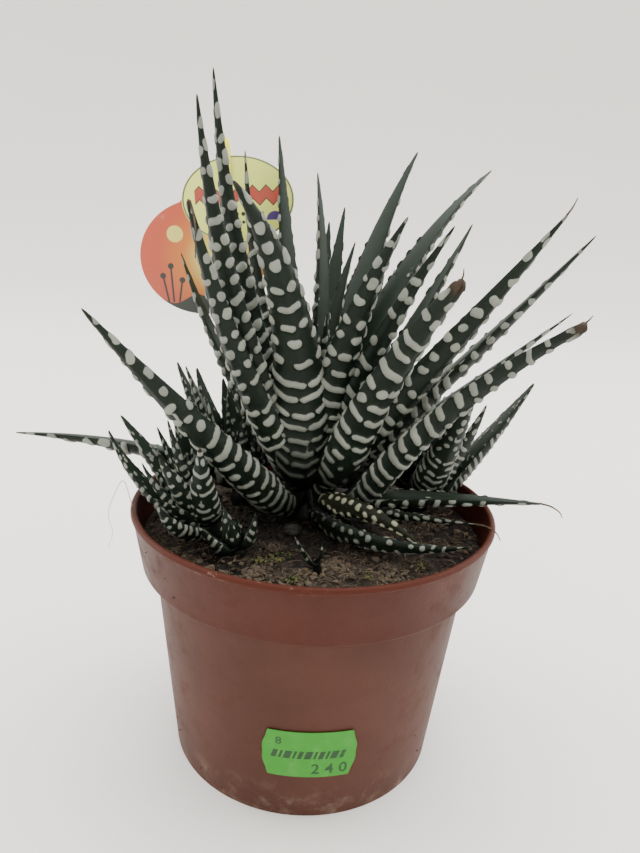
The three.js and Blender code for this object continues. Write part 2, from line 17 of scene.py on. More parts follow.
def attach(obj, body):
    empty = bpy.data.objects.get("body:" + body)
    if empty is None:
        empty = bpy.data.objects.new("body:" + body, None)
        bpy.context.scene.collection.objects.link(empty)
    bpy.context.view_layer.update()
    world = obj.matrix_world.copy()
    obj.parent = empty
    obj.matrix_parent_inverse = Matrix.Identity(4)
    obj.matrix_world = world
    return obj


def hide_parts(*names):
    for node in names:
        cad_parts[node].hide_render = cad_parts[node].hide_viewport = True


bl_info = {
    "name": "Potted Haworthia",
    "version": (1, 0, 0),
    "blender": (4, 5, 0),
    "location": "View3D > Sidebar > Haworthia",
    "description": "Makes a striped haworthia with offsets in a nursery pot",
    "category": "Object",
}

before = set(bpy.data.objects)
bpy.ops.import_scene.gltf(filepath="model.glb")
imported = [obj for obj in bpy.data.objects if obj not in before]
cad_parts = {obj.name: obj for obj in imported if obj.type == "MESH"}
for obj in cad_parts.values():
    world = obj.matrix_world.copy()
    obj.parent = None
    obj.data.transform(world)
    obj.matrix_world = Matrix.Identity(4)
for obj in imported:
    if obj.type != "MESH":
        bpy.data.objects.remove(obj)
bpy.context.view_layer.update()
MM = 0.001
TURN = 2 * math.pi

# ---------- sizes in millimetres ----------
GAP = 0.3  # between touching pieces

POT_HEIGHT = 80
RIM_RADIUS = 55
LIP = 1.9
COLLAR_FOOT = 62  # height of the step under the collar
COLLAR_FOOT_RADIUS = 51.7
COLLAR_TOP_RADIUS = 54.4
BODY_TOP_RADIUS = 48
FOOT_RADIUS = 41.6
FOOT_ROUND = 1.4
FOOT_RING = 5
WALL = 1.4
CHANNEL = 1.4
HUB_RADIUS = 14
DRAIN_COUNT = 6
DRAIN_RADIUS = 3.5
DRAIN_PITCH = 26
DRAIN_SEGMENTS = 28
DRILL_LENGTH = 12

SOIL_LEVEL = 71
SOIL_LUMP = 0.9
SOIL_EDGE_DROP = 0.5
BROAD_WAVE = 0.15
FINE_WAVE = 0.45
LUMP_WAVE = 0.16  # finer unevenness, which the source leaves out
LUMP_RISE = 0.9
CRUMB_WAVE = 0.8
CRUMB_RISE = 0.75
SOIL_SEGMENTS = 200
SOIL_RINGS = 96

MOTHER = {
    "at": (-2, 8),
    "lean": 0,
    "lean_azimuth": 0,
    "stem_radius": 8,
    "crown_radius": 2.5,
    "root_radius": 5,
    "first_root": 6,
    "last_root": 21,
    "sunk": 4,
}
# azimuth, swing, rise at the root and at the tip, length, width, roll, width left at the tip,
# and how far out and up the root sits from its turn on the stem
MOTHER_LEAVES = [
    (293, 73, -2, 6, 54, 9.5, -45, 0.05, 2.2, -0.5),
    (339, -5, 0, 6, 49, 7.5, -30, 0.05, 0, 0.5),
    (320, 0, 22, -27, 40, 9.5, -60, 0.05, 0, -1),
    (190, -1, 27, 0, 86, 12, 8, 0.05, 0, 0),
    (340, 0, 13, 5, 67, 10, 0, 0.08, 0, 0),
    (84, 0, 26, 36, 84, 12, 0, 0.05, 0, 0),
    (224, -3, 43, 48, 92, 12.5, 38, 0.05, 3.2, -4.9),
    (316, -4, 70, 50, 40, 9, -10, 0.05, 0, 0),
    (118, 0, 34, 46, 92, 12, 0, 0.05, 0, 0),
    (335, 7, 60, 33, 89, 13, -22, 0.24, 9.4, -3.9),
    (70, 0, 40, 48, 90, 12, 0, 0.05, 0, 0),
    (227, 5, 52, 70, 96, 11.5, 10, 0.1, -2.8, 0),
    (5, 0, 38, 38, 93, 9, -15, 0.05, 0, 0),
    (313, -3, 68, 46, 78, 15, -10, 0.24, 5, 3),
    (350, 0, 47, 50, 106, 12, 0, 0.05, 0, 0),
    (338, 0, 53, 54, 104, 13, -35, 0.05, 0, 0),
    (165, -1, 50, 67, 78, 10, 0, 0.05, 0, 0),
    (220, -4, 60, 82, 112, 12, 15, 0.05, 0, 0),
    (252, -12, 93, 37, 94, 16.5, 38, 0.05, 6.2, 2.8),
    (45, -10, 74, 35, 121, 14, 0, 0.05, 0, 0),
    (20, 0, 59, 61, 90, 12, 0, 0.05, 0, 0),
    (200, -7, 68, 84, 116, 12, 30, 0.05, 0, 0),
    (88, 0, 60, 62, 86, 11, 0, 0.05, 0, 0),
    (330, 0, 74, 55, 84, 13, -10, 0.05, 0, 0),
    (60, -9, 77, 50, 111, 13, 0, 0.05, 0, 0),
    (300, 4, 82, 48, 85, 14, 0, 0.05, 0, 0),
    (150, 2, 67, 83, 96, 10, 50, 0.05, 0, 0),
    (136, 0, 80, 80, 98, 11, 0, 0.05, 0, 0),
    (130, -8, 106, 72, 87, 10, 20, 0.05, 0, 0),
    (80, 0, 76, 55, 85, 10, 0, 0.05, 0, 0),
    (50, 0, 94, 64, 68, 9, 0, 0.05, 0, 0),
    (185, 0, 84, 88, 58, 8, 0, 0.05, 0, 0),
    (290, 0, 86, 80, 46, 7, 0, 0.05, 0, 0),
]
BLUNT = 0.15  # a leaf that is wider than this at its tip was cut there and has dried
# The leaves up to this one lie in front and have small tubercles. This one curls down, and its
# tubercles are cream.
TWISTED_LEAF = 2

# name, place, lean, azimuth of the lean, length, width
OFFSETS = [
    ("left_offset", (-30, -11), 0, 0, 42, 12),
    ("left_front_offset", (-21, -22), 10, 240, 11.5, 7),
    ("left_back_offset", (-23, 17), 0, 0, 47, 12),
    ("right_offset", (32.5, 18.5), 14, 5, 47, 12.5),
    ("right_back_offset", (14, 36.5), 8, 60, 38, 11),
    ("back_offset", (-12, 38.7), 12, 110, 28, 9),
    ("front_seedling", (2, -31.5), 0, 0, 11, 3),
]
# Leaves by the golden angle: spread, count, first azimuth, and those left out for want of room
SPIRALS = {
    "left_front_offset": (48, 5, 215, ()),
    "right_offset": (62, 12, 2, (4, 7)),
    "right_back_offset": (64, 8, 60, (1, 4)),
    "back_offset": (62, 7, 110, (1,)),
    "front_seedling": (58, 2, 200, ()),
}
# The leaves of the two left offsets are placed one by one, as the mother's are.
LEFT_OFFSET_LEAVES = [
    (249, -2, 13, 56, 26, 8.5, 12, 0.1, 0.8, -1.2),
    (228, 2, 43, 33, 20, 7, 6, 0.1, -1, -1.8),
    (190, -2, 33, 67, 36, 8, -12, 0.08, 1.3, -1.7),
    (171, -1, 48, 49, 36, 9, -10, 0.08, -0.4, -0.3),
    (230, -3, 50, 57, 27, 10.5, 16, 0.08, -2.2, -1.6),
    (265, 4, 60, 74, 27, 9.5, 0, 0.08, 0, -1.5),
    (202, -1, 35, 64, 22, 6, 0, 0.08, 1.8, -1.5),
    (150, 0, 66, 70, 30, 8.5, 0, 0.08, 0, 0),
    (171, 0, 56, 63, 27, 6.5, 1, 0.08, -0.2, -1.9),
    (200, 0, 66, 72, 27, 7.5, 0, 0.08, 0, 0),
    (222, 0, 66, 72, 16, 6.5, 0, 0.08, 0, 0),
    (150, 0, 74, 72, 22, 6.5, 0, 0.08, 0, 0),
]
LEFT_BACK_OFFSET_LEAVES = [
    (181, 0, 50, 62, 40, 10, 0, 0.08, 0, 0),
    (192, 0, 46, 58, 36, 9.5, 0, 0.08, 0, 0),
    (10, 0, 70, 84, 15, 7.5, 0, 0.08, -2, -1.5),
    (169, 0, 58, 65, 42, 10.5, 0, 0.08, 0, 0),
    (207, 0, 64, 76, 31, 9, 0, 0.08, -1, -2),
    (153, 0, 56, 70, 37, 11, 0, 0.08, 0, 0),
    (320, 0, 76, 88, 16, 7.5, 0, 0.08, -2, -1.5),
    (182, 0, 62, 66, 38, 9, 0, 0.08, 0, 0),
    (130, 0, 60, 70, 30, 9, 0, 0.08, 0, 0),
    (90, 0, 76, 84, 22, 8.5, 0, 0.08, 0, -1),
    (142, 0, 74, 80, 30, 8, 0, 0.08, 0, 0),
    (230, 0, 84, 98, 16.5, 7, 0, 0.08, 0, 0),
]
LISTED = {"left_offset": LEFT_OFFSET_LEAVES, "left_back_offset": LEFT_BACK_OFFSET_LEAVES}
GOLDEN_ANGLE = 137.5
INNERMOST_RISE = 84
SPIRAL_TIP = 0.08  # width left at the tip of a leaf placed by the golden angle
SCATTER = 12.9898  # a sine stepped by this makes each leaf differ from its neighbours
LEAF_COLUMNS = (
    "azimuth", "swing", "rise0", "rise1", "length", "width", "roll", "tip", "out", "up",
)

# A leaf's section, as shares of half its width
WIDEST_AT = 0.14
ROOT_WIDTH = 0.84
TAPER = 1.3
KEEL_DEPTH = (0.78, 0.95)  # at the root and at the tip
CROWN = 0.14
CLOSING = 0.985  # share of the length from where the tip rounds off
CLOSING_REACH = 0.0152
UPPER_SIDES = 14  # vertices over the upper side of a leaf and round its lower side
LOWER_SIDES = 40
SIDES = UPPER_SIDES + LOWER_SIDES

# How tubercles run along a leaf: (share of the length, spacing of their rows, half thickness)
MOTHER_ROWS = (
    (0.0, 2.4, 0.58),
    (0.1, 3.4, 0.78),
    (0.2, 4.5, 0.98),
    (0.38, 5.5, 1.12),
    (0.65, 5.8, 1.08),
    (0.85, 6.5, 0.82),
    (1.0, 8.0, 0.45),
)
OFFSET_ROWS = ((0.0, 1.9, 0.42), (0.2, 2.5, 0.6), (0.6, 3.0, 0.6), (1.0, 3.8, 0.38))
ELBOW = 58  # degrees that a leaf turns up by close to its root
ELBOW_SHARE = 0.14
THIN = 0.9  # a leaf narrower than this has one short dash to a row
FULL_WIDTH = 14  # width of a leaf whose rows are spaced just as listed
FIRST_ROW = 0.8  # millimetres up the leaf
ROW_BEND = 0.42  # how far a row bends towards the tip at the margins, for 1 of half width
MARGIN = 0.97  # how far out the cells of a row reach
SEAM = 0.2  # skin left beyond each end of a cell
KEEL_TICKS = 0.08  # how often a row has a tick along the keel
STROKE_MARGIN = 1.2  # a stroke changes nothing farther from its edge than this
DOME_FOOT = 0.12  # how far outside its edge a tubercle starts to rise
DOME_REACH = 0.85  # and from there to its full height
FULL_RELIEF = 3.4  # half width from which the tubercles have their full height

STAKE_AT = (-25.3, 30)
STAKE_LEAN = 4.5
STAKE_TOP = 115
STAKE_DEPTH = 20
STAKE_WIDTH = 4
STAKE_THICKNESS = 1.2
TONGUE = 7
TONGUE_THICKNESS = 0.8
CARD_THICKNESS = 0.8
UPPER_OVAL = (3.5, 96.4, 17.7, 13.1)  # across, up, half width, half height
LOWER_OVAL = (-8.7, 79.1, 20.3, 18)

PRICE_SIZE = (26, 16)
PRICE_AZIMUTH = 273.6
PRICE_MIDDLE = 23.5
PRICE_THICKNESS = 0.3

PEBBLE_AT = (-6, -8.5)
PEBBLE_RADIUS = 2.4
PEBBLE_SQUASH = 0.8


# ---------- settings ----------
def colour(label, default, about):
    """A colour that a user can change."""
    return bpy.props.FloatVectorProperty(
        name=label, description=about, default=default, subtype="COLOR", size=3, min=0, max=1
    )


def length(label, default, about):
    """A length in metres that a user can change."""
    return bpy.props.FloatProperty(
        name=label, description=about, default=default, min=0, unit="LENGTH", precision=5
    )


def whole(label, default, about):
    """A count or seed that a user can change."""
    return bpy.props.IntProperty(name=label, description=about, default=default, min=0)


def power(label, default, about):
    """A lamp's power that a user can change."""
    return bpy.props.FloatProperty(
        name=label, description=about, default=default, min=0, unit="POWER"
    )


class PotSettings(bpy.types.PropertyGroup):
    """Finish of the nursery pot."""

    plastic: colour("Plastic", (0.044, 0.0095, 0.0045), "Terracotta-brown plastic")
    lip: colour("Lip", (0.056, 0.012, 0.006), "Redder plastic of the rolled lip")
    dust: colour("Dust", (0.30, 0.24, 0.19), "Dried dust and water marks")
    dirt: colour("Dirt", (0.035, 0.022, 0.015), "Specks of compost on the wall")
    segments: whole("Segments", 160, "Facets round the pot")


class LeafSettings(bpy.types.PropertyGroup):
    """Finish and relief of the leaves."""

    lower: colour("Lower side", (0.0055, 0.0100, 0.0065), "Dark skin of the keeled side")
    upper: colour("Upper side", (0.0125, 0.0215, 0.0145), "Greyer skin of the upper side")
    # Root: painted shade, a near-black colour laid on the leaves close to the stem, where shade falls
    root: colour("Root", (0.002, 0.0028, 0.0018), "Skin near the stem")
    tubercle: colour("Tubercles", (0.235, 0.25, 0.215), "Raised grey-white bands and dots")
    cream: colour("Cream tubercles", (0.31, 0.315, 0.225), "Bands of the twisted leaf")
    olive: colour("Olive skin", (0.0145, 0.0165, 0.009), "Skin of the twisted leaf")
    dry: colour("Dried tips", (0.04, 0.027, 0.017), "Withered tips")
    relief: length("Relief", 0.0007, "Height of the tubercles on the mother's leaves")
    offset_relief: length("Offset relief", 0.00036, "Height of the tubercles on the offsets")
    rings: whole("Rings", 200, "Rows of vertices along a long leaf")
    seed: whole("Seed", 7, "Draws another set of tubercles")


class SoilSettings(bpy.types.PropertyGroup):
    """Finish of the compost and what lies on it."""

    peat: colour("Peat", (0.021, 0.0145, 0.010), "Damp peat")
    dry_peat: colour("Dry peat", (0.10, 0.076, 0.052), "Drier crumbs on the surface")
    fibre: colour("Fibre", (0.16, 0.11, 0.066), "Coir fibres")
    # Perlite: painted shade, the pale grain darkened to how it looks in the rosette's shade
    moss: colour("Moss", (0.13, 0.125, 0.045), "Yellow-green moss")
    perlite: colour("Perlite", (0.036, 0.034, 0.029), "Porous grain, dark with wet")
    crumbs: whole("Crumbs", 2300, "Loose crumbs")
    fibres: whole("Fibres", 1100, "Loose fibres")
    seed: whole("Seed", 11, "Draws another scatter")


class LabelSettings(bpy.types.PropertyGroup):
    """Finish of the stake, the card and the price label."""

    stake: colour("Stake", (0.95, 0.92, 0.13), "Translucent yellow plastic")
    lime: colour("Lime", (0.76, 0.84, 0.18), "Ground of the upper oval")
    outline: colour("Outline", (0.09, 0.11, 0.07), "Thin line round the upper oval")
    red: colour("Red", (0.42, 0.06, 0.035), "Zigzag band")
    ink: colour("Ink", (0.02, 0.025, 0.02), "Dots and ground")
    purple: colour("Purple", (0.06, 0.03, 0.16), "Small half disc")
    dusk: colour("Dusk", (0.50, 0.08, 0.035), "Rim of the lower oval")
    orange: colour("Orange", (0.60, 0.20, 0.025), "Middle of the lower oval")
    glow: colour("Glow", (0.68, 0.62, 0.15), "Bright part of the lower oval")
    green: colour("Label green", (0.028, 0.225, 0.016), "Paper of the price label")
    digits: colour("Digits", (0.02, 0.055, 0.02), "Ink on the price label")


class StageSettings(bpy.types.PropertyGroup):
    """Floor, lamps and camera."""

    floor: colour("Floor", (0.89, 0.875, 0.84), "Pale matte floor")
    sky: bpy.props.FloatProperty(
        name="Sky", description="Strength of the even light", default=1.9, min=0
    )
    overhead: power("Overhead", 17, "Power of the softbox above")
    side: power("Side", 10, "Power of each softbox at the sides")
    lens: bpy.props.FloatProperty(
        name="Lens", description="Focal length", default=29.12, min=1, unit="CAMERA"
    )


# ---------- shader wiring ----------
class Wiring:
    """Adds nodes to a tree and joins them."""

    def __init__(self, tree):
        self.tree = tree

    def node(self, kind, **settings):
        made = self.tree.nodes.new(kind)
        for name, value in settings.items():
            setattr(made, name, value)
        return made

    def feed(self, socket, value):
        """Joins the socket to another one, or sets its value."""
        if isinstance(value, bpy.types.NodeSocket):
            self.tree.links.new(value, socket)
        else:
            socket.default_value = value

    def math(self, operation, *values):
        made = self.node("ShaderNodeMath", operation=operation)
        for socket, value in zip(made.inputs, values):
            self.feed(socket, value)
        return made.outputs[0]

    def step(self, value, low, high):
        """0 up to low, 1 from high, and smooth between them."""
        made = self.node("ShaderNodeMapRange", interpolation_type="SMOOTHSTEP")
        self.feed(made.inputs["Value"], value)
        self.feed(made.inputs["From Min"], low)
        self.feed(made.inputs["From Max"], high)
        return made.outputs["Result"]

    def both(self, *masks):
        """Where every mask holds."""
        mask = masks[0]
        for other in masks[1:]:
            mask = self.math("MULTIPLY", mask, other)
        return mask

    def blend(self, mask, under, over):
        """The over colour where the mask is 1."""
        made = self.node("ShaderNodeMix", data_type="RGBA")
        self.feed(made.inputs["Factor"], mask)
        for index, value in ((6, under), (7, over)):
            whole_colour = value if isinstance(value, bpy.types.NodeSocket) else (*value, 1)
            self.feed(made.inputs[index], whole_colour)
        return made.outputs[2]

    def distance(self, dx, dy):
        squares = self.math("ADD", self.math("MULTIPLY", dx, dx), self.math("MULTIPLY", dy, dy))
        return self.math("SQRT", squares)

    def noise(self, where, scale, detail=3.0, roughness=0.55):
        made = self.node("ShaderNodeTexNoise")
        self.feed(made.inputs["Vector"], where)
        self.feed(made.inputs["Scale"], scale)
        made.inputs["Detail"].default_value = detail
        made.inputs["Roughness"].default_value = roughness
        return made.outputs[0]

    def place(self):
        return self.node("ShaderNodeTexCoord").outputs["Object"]

    def stretched(self, where, scale):
        made = self.node("ShaderNodeMapping")
        self.feed(made.inputs["Vector"], where)
        made.inputs["Scale"].default_value = scale
        return made.outputs[0]

    def attribute(self, name):
        return self.node("ShaderNodeAttribute", attribute_name=name).outputs["Fac"]

    def axes(self, where):
        made = self.node("ShaderNodeSeparateXYZ")
        self.feed(made.inputs[0], where)
        return made.outputs

    def group(self, tree, **values):
        """Places a node group with its inputs set by name."""
        made = self.node("ShaderNodeGroup", node_tree=tree)
        for name, value in values.items():
            self.feed(made.inputs[name], value)
        return made.outputs[0]

    def specks(self, where, scale, amount):
        tree = group_named("specks", build_specks)
        return self.group(tree, Vector=where, Scale=scale, Amount=amount)

    def grain(self, shader, where, scale, depth):
        """Gives the shader a fine grain, of the depth in metres."""
        tree = group_named("skin", build_skin)
        self.feed(shader.inputs["Normal"], self.group(tree, Vector=where, Scale=scale, Depth=depth))


def new_group(name, inputs, output):
    """An empty node group: its tree's wiring, its input sockets and its output socket."""
    tree = bpy.data.node_groups.new(name, "ShaderNodeTree")
    for label, kind in inputs:
        tree.interface.new_socket(name=label, in_out="INPUT", socket_type=kind)
    tree.interface.new_socket(name=output[0], in_out="OUTPUT", socket_type=output[1])
    wiring = Wiring(tree)
    entry = wiring.node("NodeGroupInput")
    end = wiring.node("NodeGroupOutput")
    return wiring, entry.outputs, end.inputs[0]


def group_named(name, build):
    """The node group of that name, built on its first use."""
    return bpy.data.node_groups.get(name) or build(name)


def build_specks(name):
    """Mask of scattered specks. Amount 0 has none, and 1 covers everything."""
    wiring, given, end = new_group(
        name,
        [("Vector", "NodeSocketVector"), ("Scale", "NodeSocketFloat"), ("Amount", "NodeSocketFloat")],
        ("Mask", "NodeSocketFloat"),
    )
    grain = wiring.noise(given["Vector"], given["Scale"], 4, 0.5)
    bar = wiring.math("SUBTRACT", 0.85, wiring.math("MULTIPLY", given["Amount"], 0.6))
    wiring.feed(end, wiring.step(grain, bar, wiring.math("ADD", bar, 0.06)))
    return wiring.tree


def build_skin(name):
    """Normal of a fine grain, for moulded plastic, paper and leaf skin."""
    wiring, given, end = new_group(
        name,
        [("Vector", "NodeSocketVector"), ("Scale", "NodeSocketFloat"), ("Depth", "NodeSocketFloat")],
        ("Normal", "NodeSocketVector"),
    )
    bump = wiring.node("ShaderNodeBump")
    wiring.feed(bump.inputs["Height"], wiring.noise(given["Vector"], given["Scale"], 3, 0.5))
    wiring.feed(bump.inputs["Distance"], given["Depth"])
    wiring.feed(end, bump.outputs["Normal"])
    return wiring.tree


def finish_named(name, build):
    """The material of that name, built on its first use."""
    return bpy.data.materials.get(name) or build(name)


def new_finish(name, specular, roughness=0.5):
    """A material, its wiring and its shader."""
    material = bpy.data.materials.new(name)
    material.use_nodes = True
    shader = material.node_tree.nodes["Principled BSDF"]
    shader.inputs["Specular IOR Level"].default_value = specular
    shader.inputs["Roughness"].default_value = roughness
    return material, Wiring(material.node_tree), shader


def shaded(tint, share):
    """The colour made darker, or paler where the share is over 1."""
    return tuple(min(1, share * c) for c in tint)


def mottled_finish(name, specular, roughness, cloud, under, over, border=None):
    """A finish of two colours that meet in clouds, with a sharper border where one is given.

    The cloud is the scale and detail of its noise.
    """
    material, w, shader = new_finish(name, specular, roughness)
    mottle = w.noise(w.place(), *cloud)
    if border:
        mottle = w.step(mottle, *border)
    w.feed(shader.inputs["Base Color"], w.blend(mottle, under, over))
    return material


# ---------- making pieces ----------
def smooth_step(low, high, x):
    t = np.clip((x - low) / (high - low), 0, 1)
    return t * t * (3 - 2 * t)


def mix(a, b, t):
    return a + (b - a) * t


def turned(bm, profile, segments):
    """Spins a wire of (radius, height) points round the Z axis."""
    verts = [bm.verts.new((r, 0, z)) for r, z in profile]
    edges = [bm.edges.new(pair) for pair in zip(verts, verts[1:])]
    bmesh.ops.spin(
        bm,
        geom=verts + edges,
        axis=(0, 0, 1),
        cent=(0, 0, 0),
        angle=TURN,
        steps=segments,
        use_merge=True,
    )
    bmesh.ops.remove_doubles(bm, verts=bm.verts, dist=1e-4)
    bmesh.ops.recalc_face_normals(bm, faces=bm.faces)


def rounded(points, radii, steps=6):
    """The points of a polyline with its inner corners rounded. A radius of 0 keeps a corner."""
    out = [points[0]]
    for before, corner, after, radius in zip(points, points[1:], points[2:], radii):
        here = Vector(corner)
        back = Vector(before) - here
        ahead = Vector(after) - here
        reach = min(radius, 0.45 * back.length, 0.45 * ahead.length)
        if reach <= 0:
            out.append(corner)
            continue
        start = here + back.normalized() * reach
        stop = here + ahead.normalized() * reach
        for i in range(steps + 1):
            t = i / steps
            curve = start.lerp(here, t).lerp(here.lerp(stop, t), t)
            out.append(tuple(curve))
    out.append(points[-1])
    return out


def placed(name, data):
    """An object of the mesh, text, lamp or camera, in the scene."""
    made = bpy.data.objects.new(name, data)
    bpy.context.scene.collection.objects.link(made)
    return made


def mesh_of(bm, name="work"):
    mesh = bpy.data.meshes.new(name)
    bm.to_mesh(mesh)
    bm.free()
    return mesh


def finished(name, source, finishes, node=None, sharp=40):
    """Makes a piece of a bmesh or a mesh in millimetres: its finishes, and the node it stands for."""
    mesh = mesh_of(source) if isinstance(source, bmesh.types.BMesh) else source
    mesh.name = name
    mesh.transform(Matrix.Scale(MM, 4))
    mesh.shade_smooth()
    mesh.set_sharp_from_angle(angle=math.radians(sharp))
    piece = placed(name, mesh)
    for finish in finishes:
        mesh.materials.append(finish)
    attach(piece, "root")
    if node:
        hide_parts(node)
    return piece


def after_boolean(mesh, others, operation):
    """The mesh after Boolean operations with the others, which are used up."""
    piece = placed("work", mesh)
    tools = []
    for other in others:
        tool = placed("tool", other)
        tools.append(tool)
        modifier = piece.modifiers.new("boolean", "BOOLEAN")
        modifier.operation = operation
        modifier.solver = "EXACT"
        modifier.object = tool
    depsgraph = bpy.context.evaluated_depsgraph_get()
    result = bpy.data.meshes.new_from_object(piece.evaluated_get(depsgraph))
    for used in [piece, *tools]:
        bpy.data.objects.remove(used)
    return result


def vertex_places(mesh):
    """An array with a row of x, y and z for each vertex."""
    places = np.empty(3 * len(mesh.vertices))
    mesh.vertices.foreach_get("co", places)
    return places.reshape(-1, 3)


def number_vertices(mesh, name, values):
    """Gives each vertex a number that a finish can read by its name."""
    layer = mesh.attributes.new(name, "FLOAT", "POINT")
    layer.data.foreach_set("value", values.astype(np.float32))


def body_radius(z):
    return mix(FOOT_RADIUS, BODY_TOP_RADIUS, min(max(z / COLLAR_FOOT, 0), 1))


def collar_radius(z):
    return mix(COLLAR_FOOT_RADIUS, COLLAR_TOP_RADIUS, (z - COLLAR_FOOT) / (POT_HEIGHT - LIP - COLLAR_FOOT))


def soil_height(x, y):
    broad = np.sin(BROAD_WAVE * x + 0.7) * np.cos(BROAD_WAVE * y - 0.4)
    fine = np.sin(FINE_WAVE * (x - 0.7 * y) + 1.9) * np.cos(FINE_WAVE * (y + 0.5 * x))
    return SOIL_LEVEL + SOIL_LUMP * (0.6 * broad + 0.4 * fine)


def over_soil(x, y, above):
    return (x, y, float(soil_height(x, y)) + above)


# ---------- pot ----------
def plastic_finish(name):
    """Satin terracotta plastic: cloudy colour, a redder lip, dust at the foot, specks of dirt."""
    s = bpy.context.scene.haworthia_pot
    material, w, shader = new_finish(name, 0.12)
    place = w.place()
    x, y, z = w.axes(place)
    cloud = w.noise(place, 28, 4)
    streak = w.noise(w.stretched(place, (90, 90, 9)), 1.0, 3)
    pale = tuple(min(1, 1.32 * c + 0.004) for c in s.plastic)
    base = w.blend(w.step(cloud, 0.3, 0.72), s.plastic, pale)
    base = w.blend(w.both(w.step(streak, 0.5, 0.75), 0.35), base, pale)
    under_collar = w.step(z, (COLLAR_FOOT + 0.5) * MM, (COLLAR_FOOT - 0.5) * MM)
    base = w.blend(w.both(under_collar, 0.05), base, s.dust)
    lip = w.step(z, (POT_HEIGHT - 2.5) * MM, (POT_HEIGHT - 1.7) * MM)
    base = w.blend(lip, base, s.lip)
    near_foot = w.step(z, 0.016, 0.0)
    smear = w.step(w.noise(place, 120, 5, 0.7), 0.45, 0.75)
    base = w.blend(w.both(near_foot, smear, 0.4), base, s.dust)
    drawn = w.stretched(place, (1, 1, 0.35))
    scuffs = w.specks(drawn, 260.0, 0.22)
    base = w.blend(w.both(scuffs, w.step(z, 0.03, 0.0), 0.45), base, s.dust)
    front_left = w.both(lip, w.step(y, -0.02, -0.045), w.step(x, 0.02, -0.02))
    crust = w.step(w.noise(place, 420, 4, 0.7), 0.58, 0.7)
    base = w.blend(w.both(front_left, crust, 0.5), base, s.dust)
    base = w.blend(w.both(w.specks(place, 420.0, 0.17), 0.7), base, s.dirt)
    w.feed(shader.inputs["Base Color"], base)
    rough = w.math("ADD", 0.5, w.math("MULTIPLY", smear, 0.16))
    w.feed(shader.inputs["Roughness"], rough)
    w.grain(shader, place, 900.0, 0.00006)
    return material


def pot_profile():
    """Outline of the pot's wall, from the axis under the floor round to the axis above it."""
    ring_inner = FOOT_RADIUS - FOOT_ROUND - FOOT_RING
    top = POT_HEIGHT - LIP
    outside = [
        (0, 0),
        (HUB_RADIUS, 0),
        (HUB_RADIUS + CHANNEL, CHANNEL),
        (ring_inner - CHANNEL, CHANNEL),
        (ring_inner, 0),
        (FOOT_RADIUS, 0),
        (body_radius(30), 30),
        (body_radius(COLLAR_FOOT - 0.3), COLLAR_FOOT - 0.3),
        (COLLAR_FOOT_RADIUS, COLLAR_FOOT),
        (collar_radius(top), top),
    ]
    outside = rounded(outside, (0, 0.4, 0.4, 0.4, 0, 2.2, 0, 1.1, 3.4))
    lip_radius = 0.5 * LIP
    lip_steps = 14
    lip = []
    for i in range(lip_steps + 1):
        turn = math.radians(mix(-60, 180, i / lip_steps))
        r = RIM_RADIUS - lip_radius * (1 - math.cos(turn))
        z = POT_HEIGHT - lip_radius * (1 - math.sin(turn))
        lip.append((r, z))
    floor = CHANNEL + WALL
    inside = [
        (collar_radius(top) - WALL, top),
        (collar_radius(COLLAR_FOOT + 2) - WALL, COLLAR_FOOT + 2),
        (body_radius(COLLAR_FOOT) - WALL, COLLAR_FOOT - 1.6),
        (body_radius(floor) - WALL, floor),
        (HUB_RADIUS + CHANNEL - 0.8, floor),
        (HUB_RADIUS - 0.8, WALL),
        (0, WALL),
    ]
    inside = rounded(inside, (1.5, 1.5, 1.2, 0.4, 0.4))
    return outside + lip + inside


def make_pot():
    s = bpy.context.scene.haworthia_pot
    bm = bmesh.new()
    turned(bm, pot_profile(), s.segments)
    drills = []
    for i in range(DRAIN_COUNT):
        azimuth = 360 * (i + 0.5) / DRAIN_COUNT
        drill = bmesh.new()
        bmesh.ops.create_cone(
            drill,
            cap_ends=True,
            segments=DRAIN_SEGMENTS,
            radius1=DRAIN_RADIUS,
            radius2=DRAIN_RADIUS,
            depth=DRILL_LENGTH,
            matrix=Matrix.Translation(on_wall(azimuth, DRAIN_PITCH, CHANNEL)),
        )
        drills.append(mesh_of(drill))
    mesh = after_boolean(mesh_of(bm), drills, "DIFFERENCE")
    finished("nursery_pot", mesh, [finish_named("terracotta_plastic", plastic_finish)], "pot")


def dirt_finish(name):
    dirt = bpy.context.scene.haworthia_pot.dirt
    return mottled_finish(name, 0.2, 0.9, (900, 3), dirt, shaded(dirt, 2.4), (0.4, 0.7))


# azimuth, height and size of the specks that stick to the wall
WALL_SPECKS = [
    (214, 74, 0.5),
    (219, 70.5, 0.45),
    (225, 70.8, 0.5),
    (228, 66, 0.75),
    (243, 73.5, 0.35),
    (252, 74.5, 0.35),
    (206, 12, 0.6),
    (209, 9, 0.7),
    (226, 4, 0.5),
    (322, 17, 0.5),
    (328, 8, 0.8),
    (333, 6, 0.6),
    (238, 2.4, 0.6),
    (30, 60, 0.5),
    (75, 40, 0.6),
    (140, 68, 0.5),
]
LIP_CRUMBS = 70
DIRT_SEED = 5


def make_wall_dirt():
    """Crumbs of compost stuck on the outside of the pot and along its lip."""
    rng = random.Random(DIRT_SEED)
    bm = bmesh.new()
    for azimuth, z, size in WALL_SPECKS:
        radius = (body_radius(z) if z < COLLAR_FOOT else collar_radius(z)) + 0.15 * size
        add_crumb(bm, rng, on_wall(azimuth, radius, z), size)
    for _ in range(LIP_CRUMBS):
        azimuth = rng.gauss(248, 24)
        radius = RIM_RADIUS - LIP * rng.uniform(0.35, 1.1)
        add_crumb(bm, rng, on_wall(azimuth, radius, POT_HEIGHT - 0.1), rng.uniform(0.15, 0.4))
    finished("wall_dirt", bm, [finish_named("stuck_dirt", dirt_finish)])


def on_wall(azimuth, radius, z):
    turn = math.radians(azimuth)
    return (radius * math.cos(turn), radius * math.sin(turn), z)


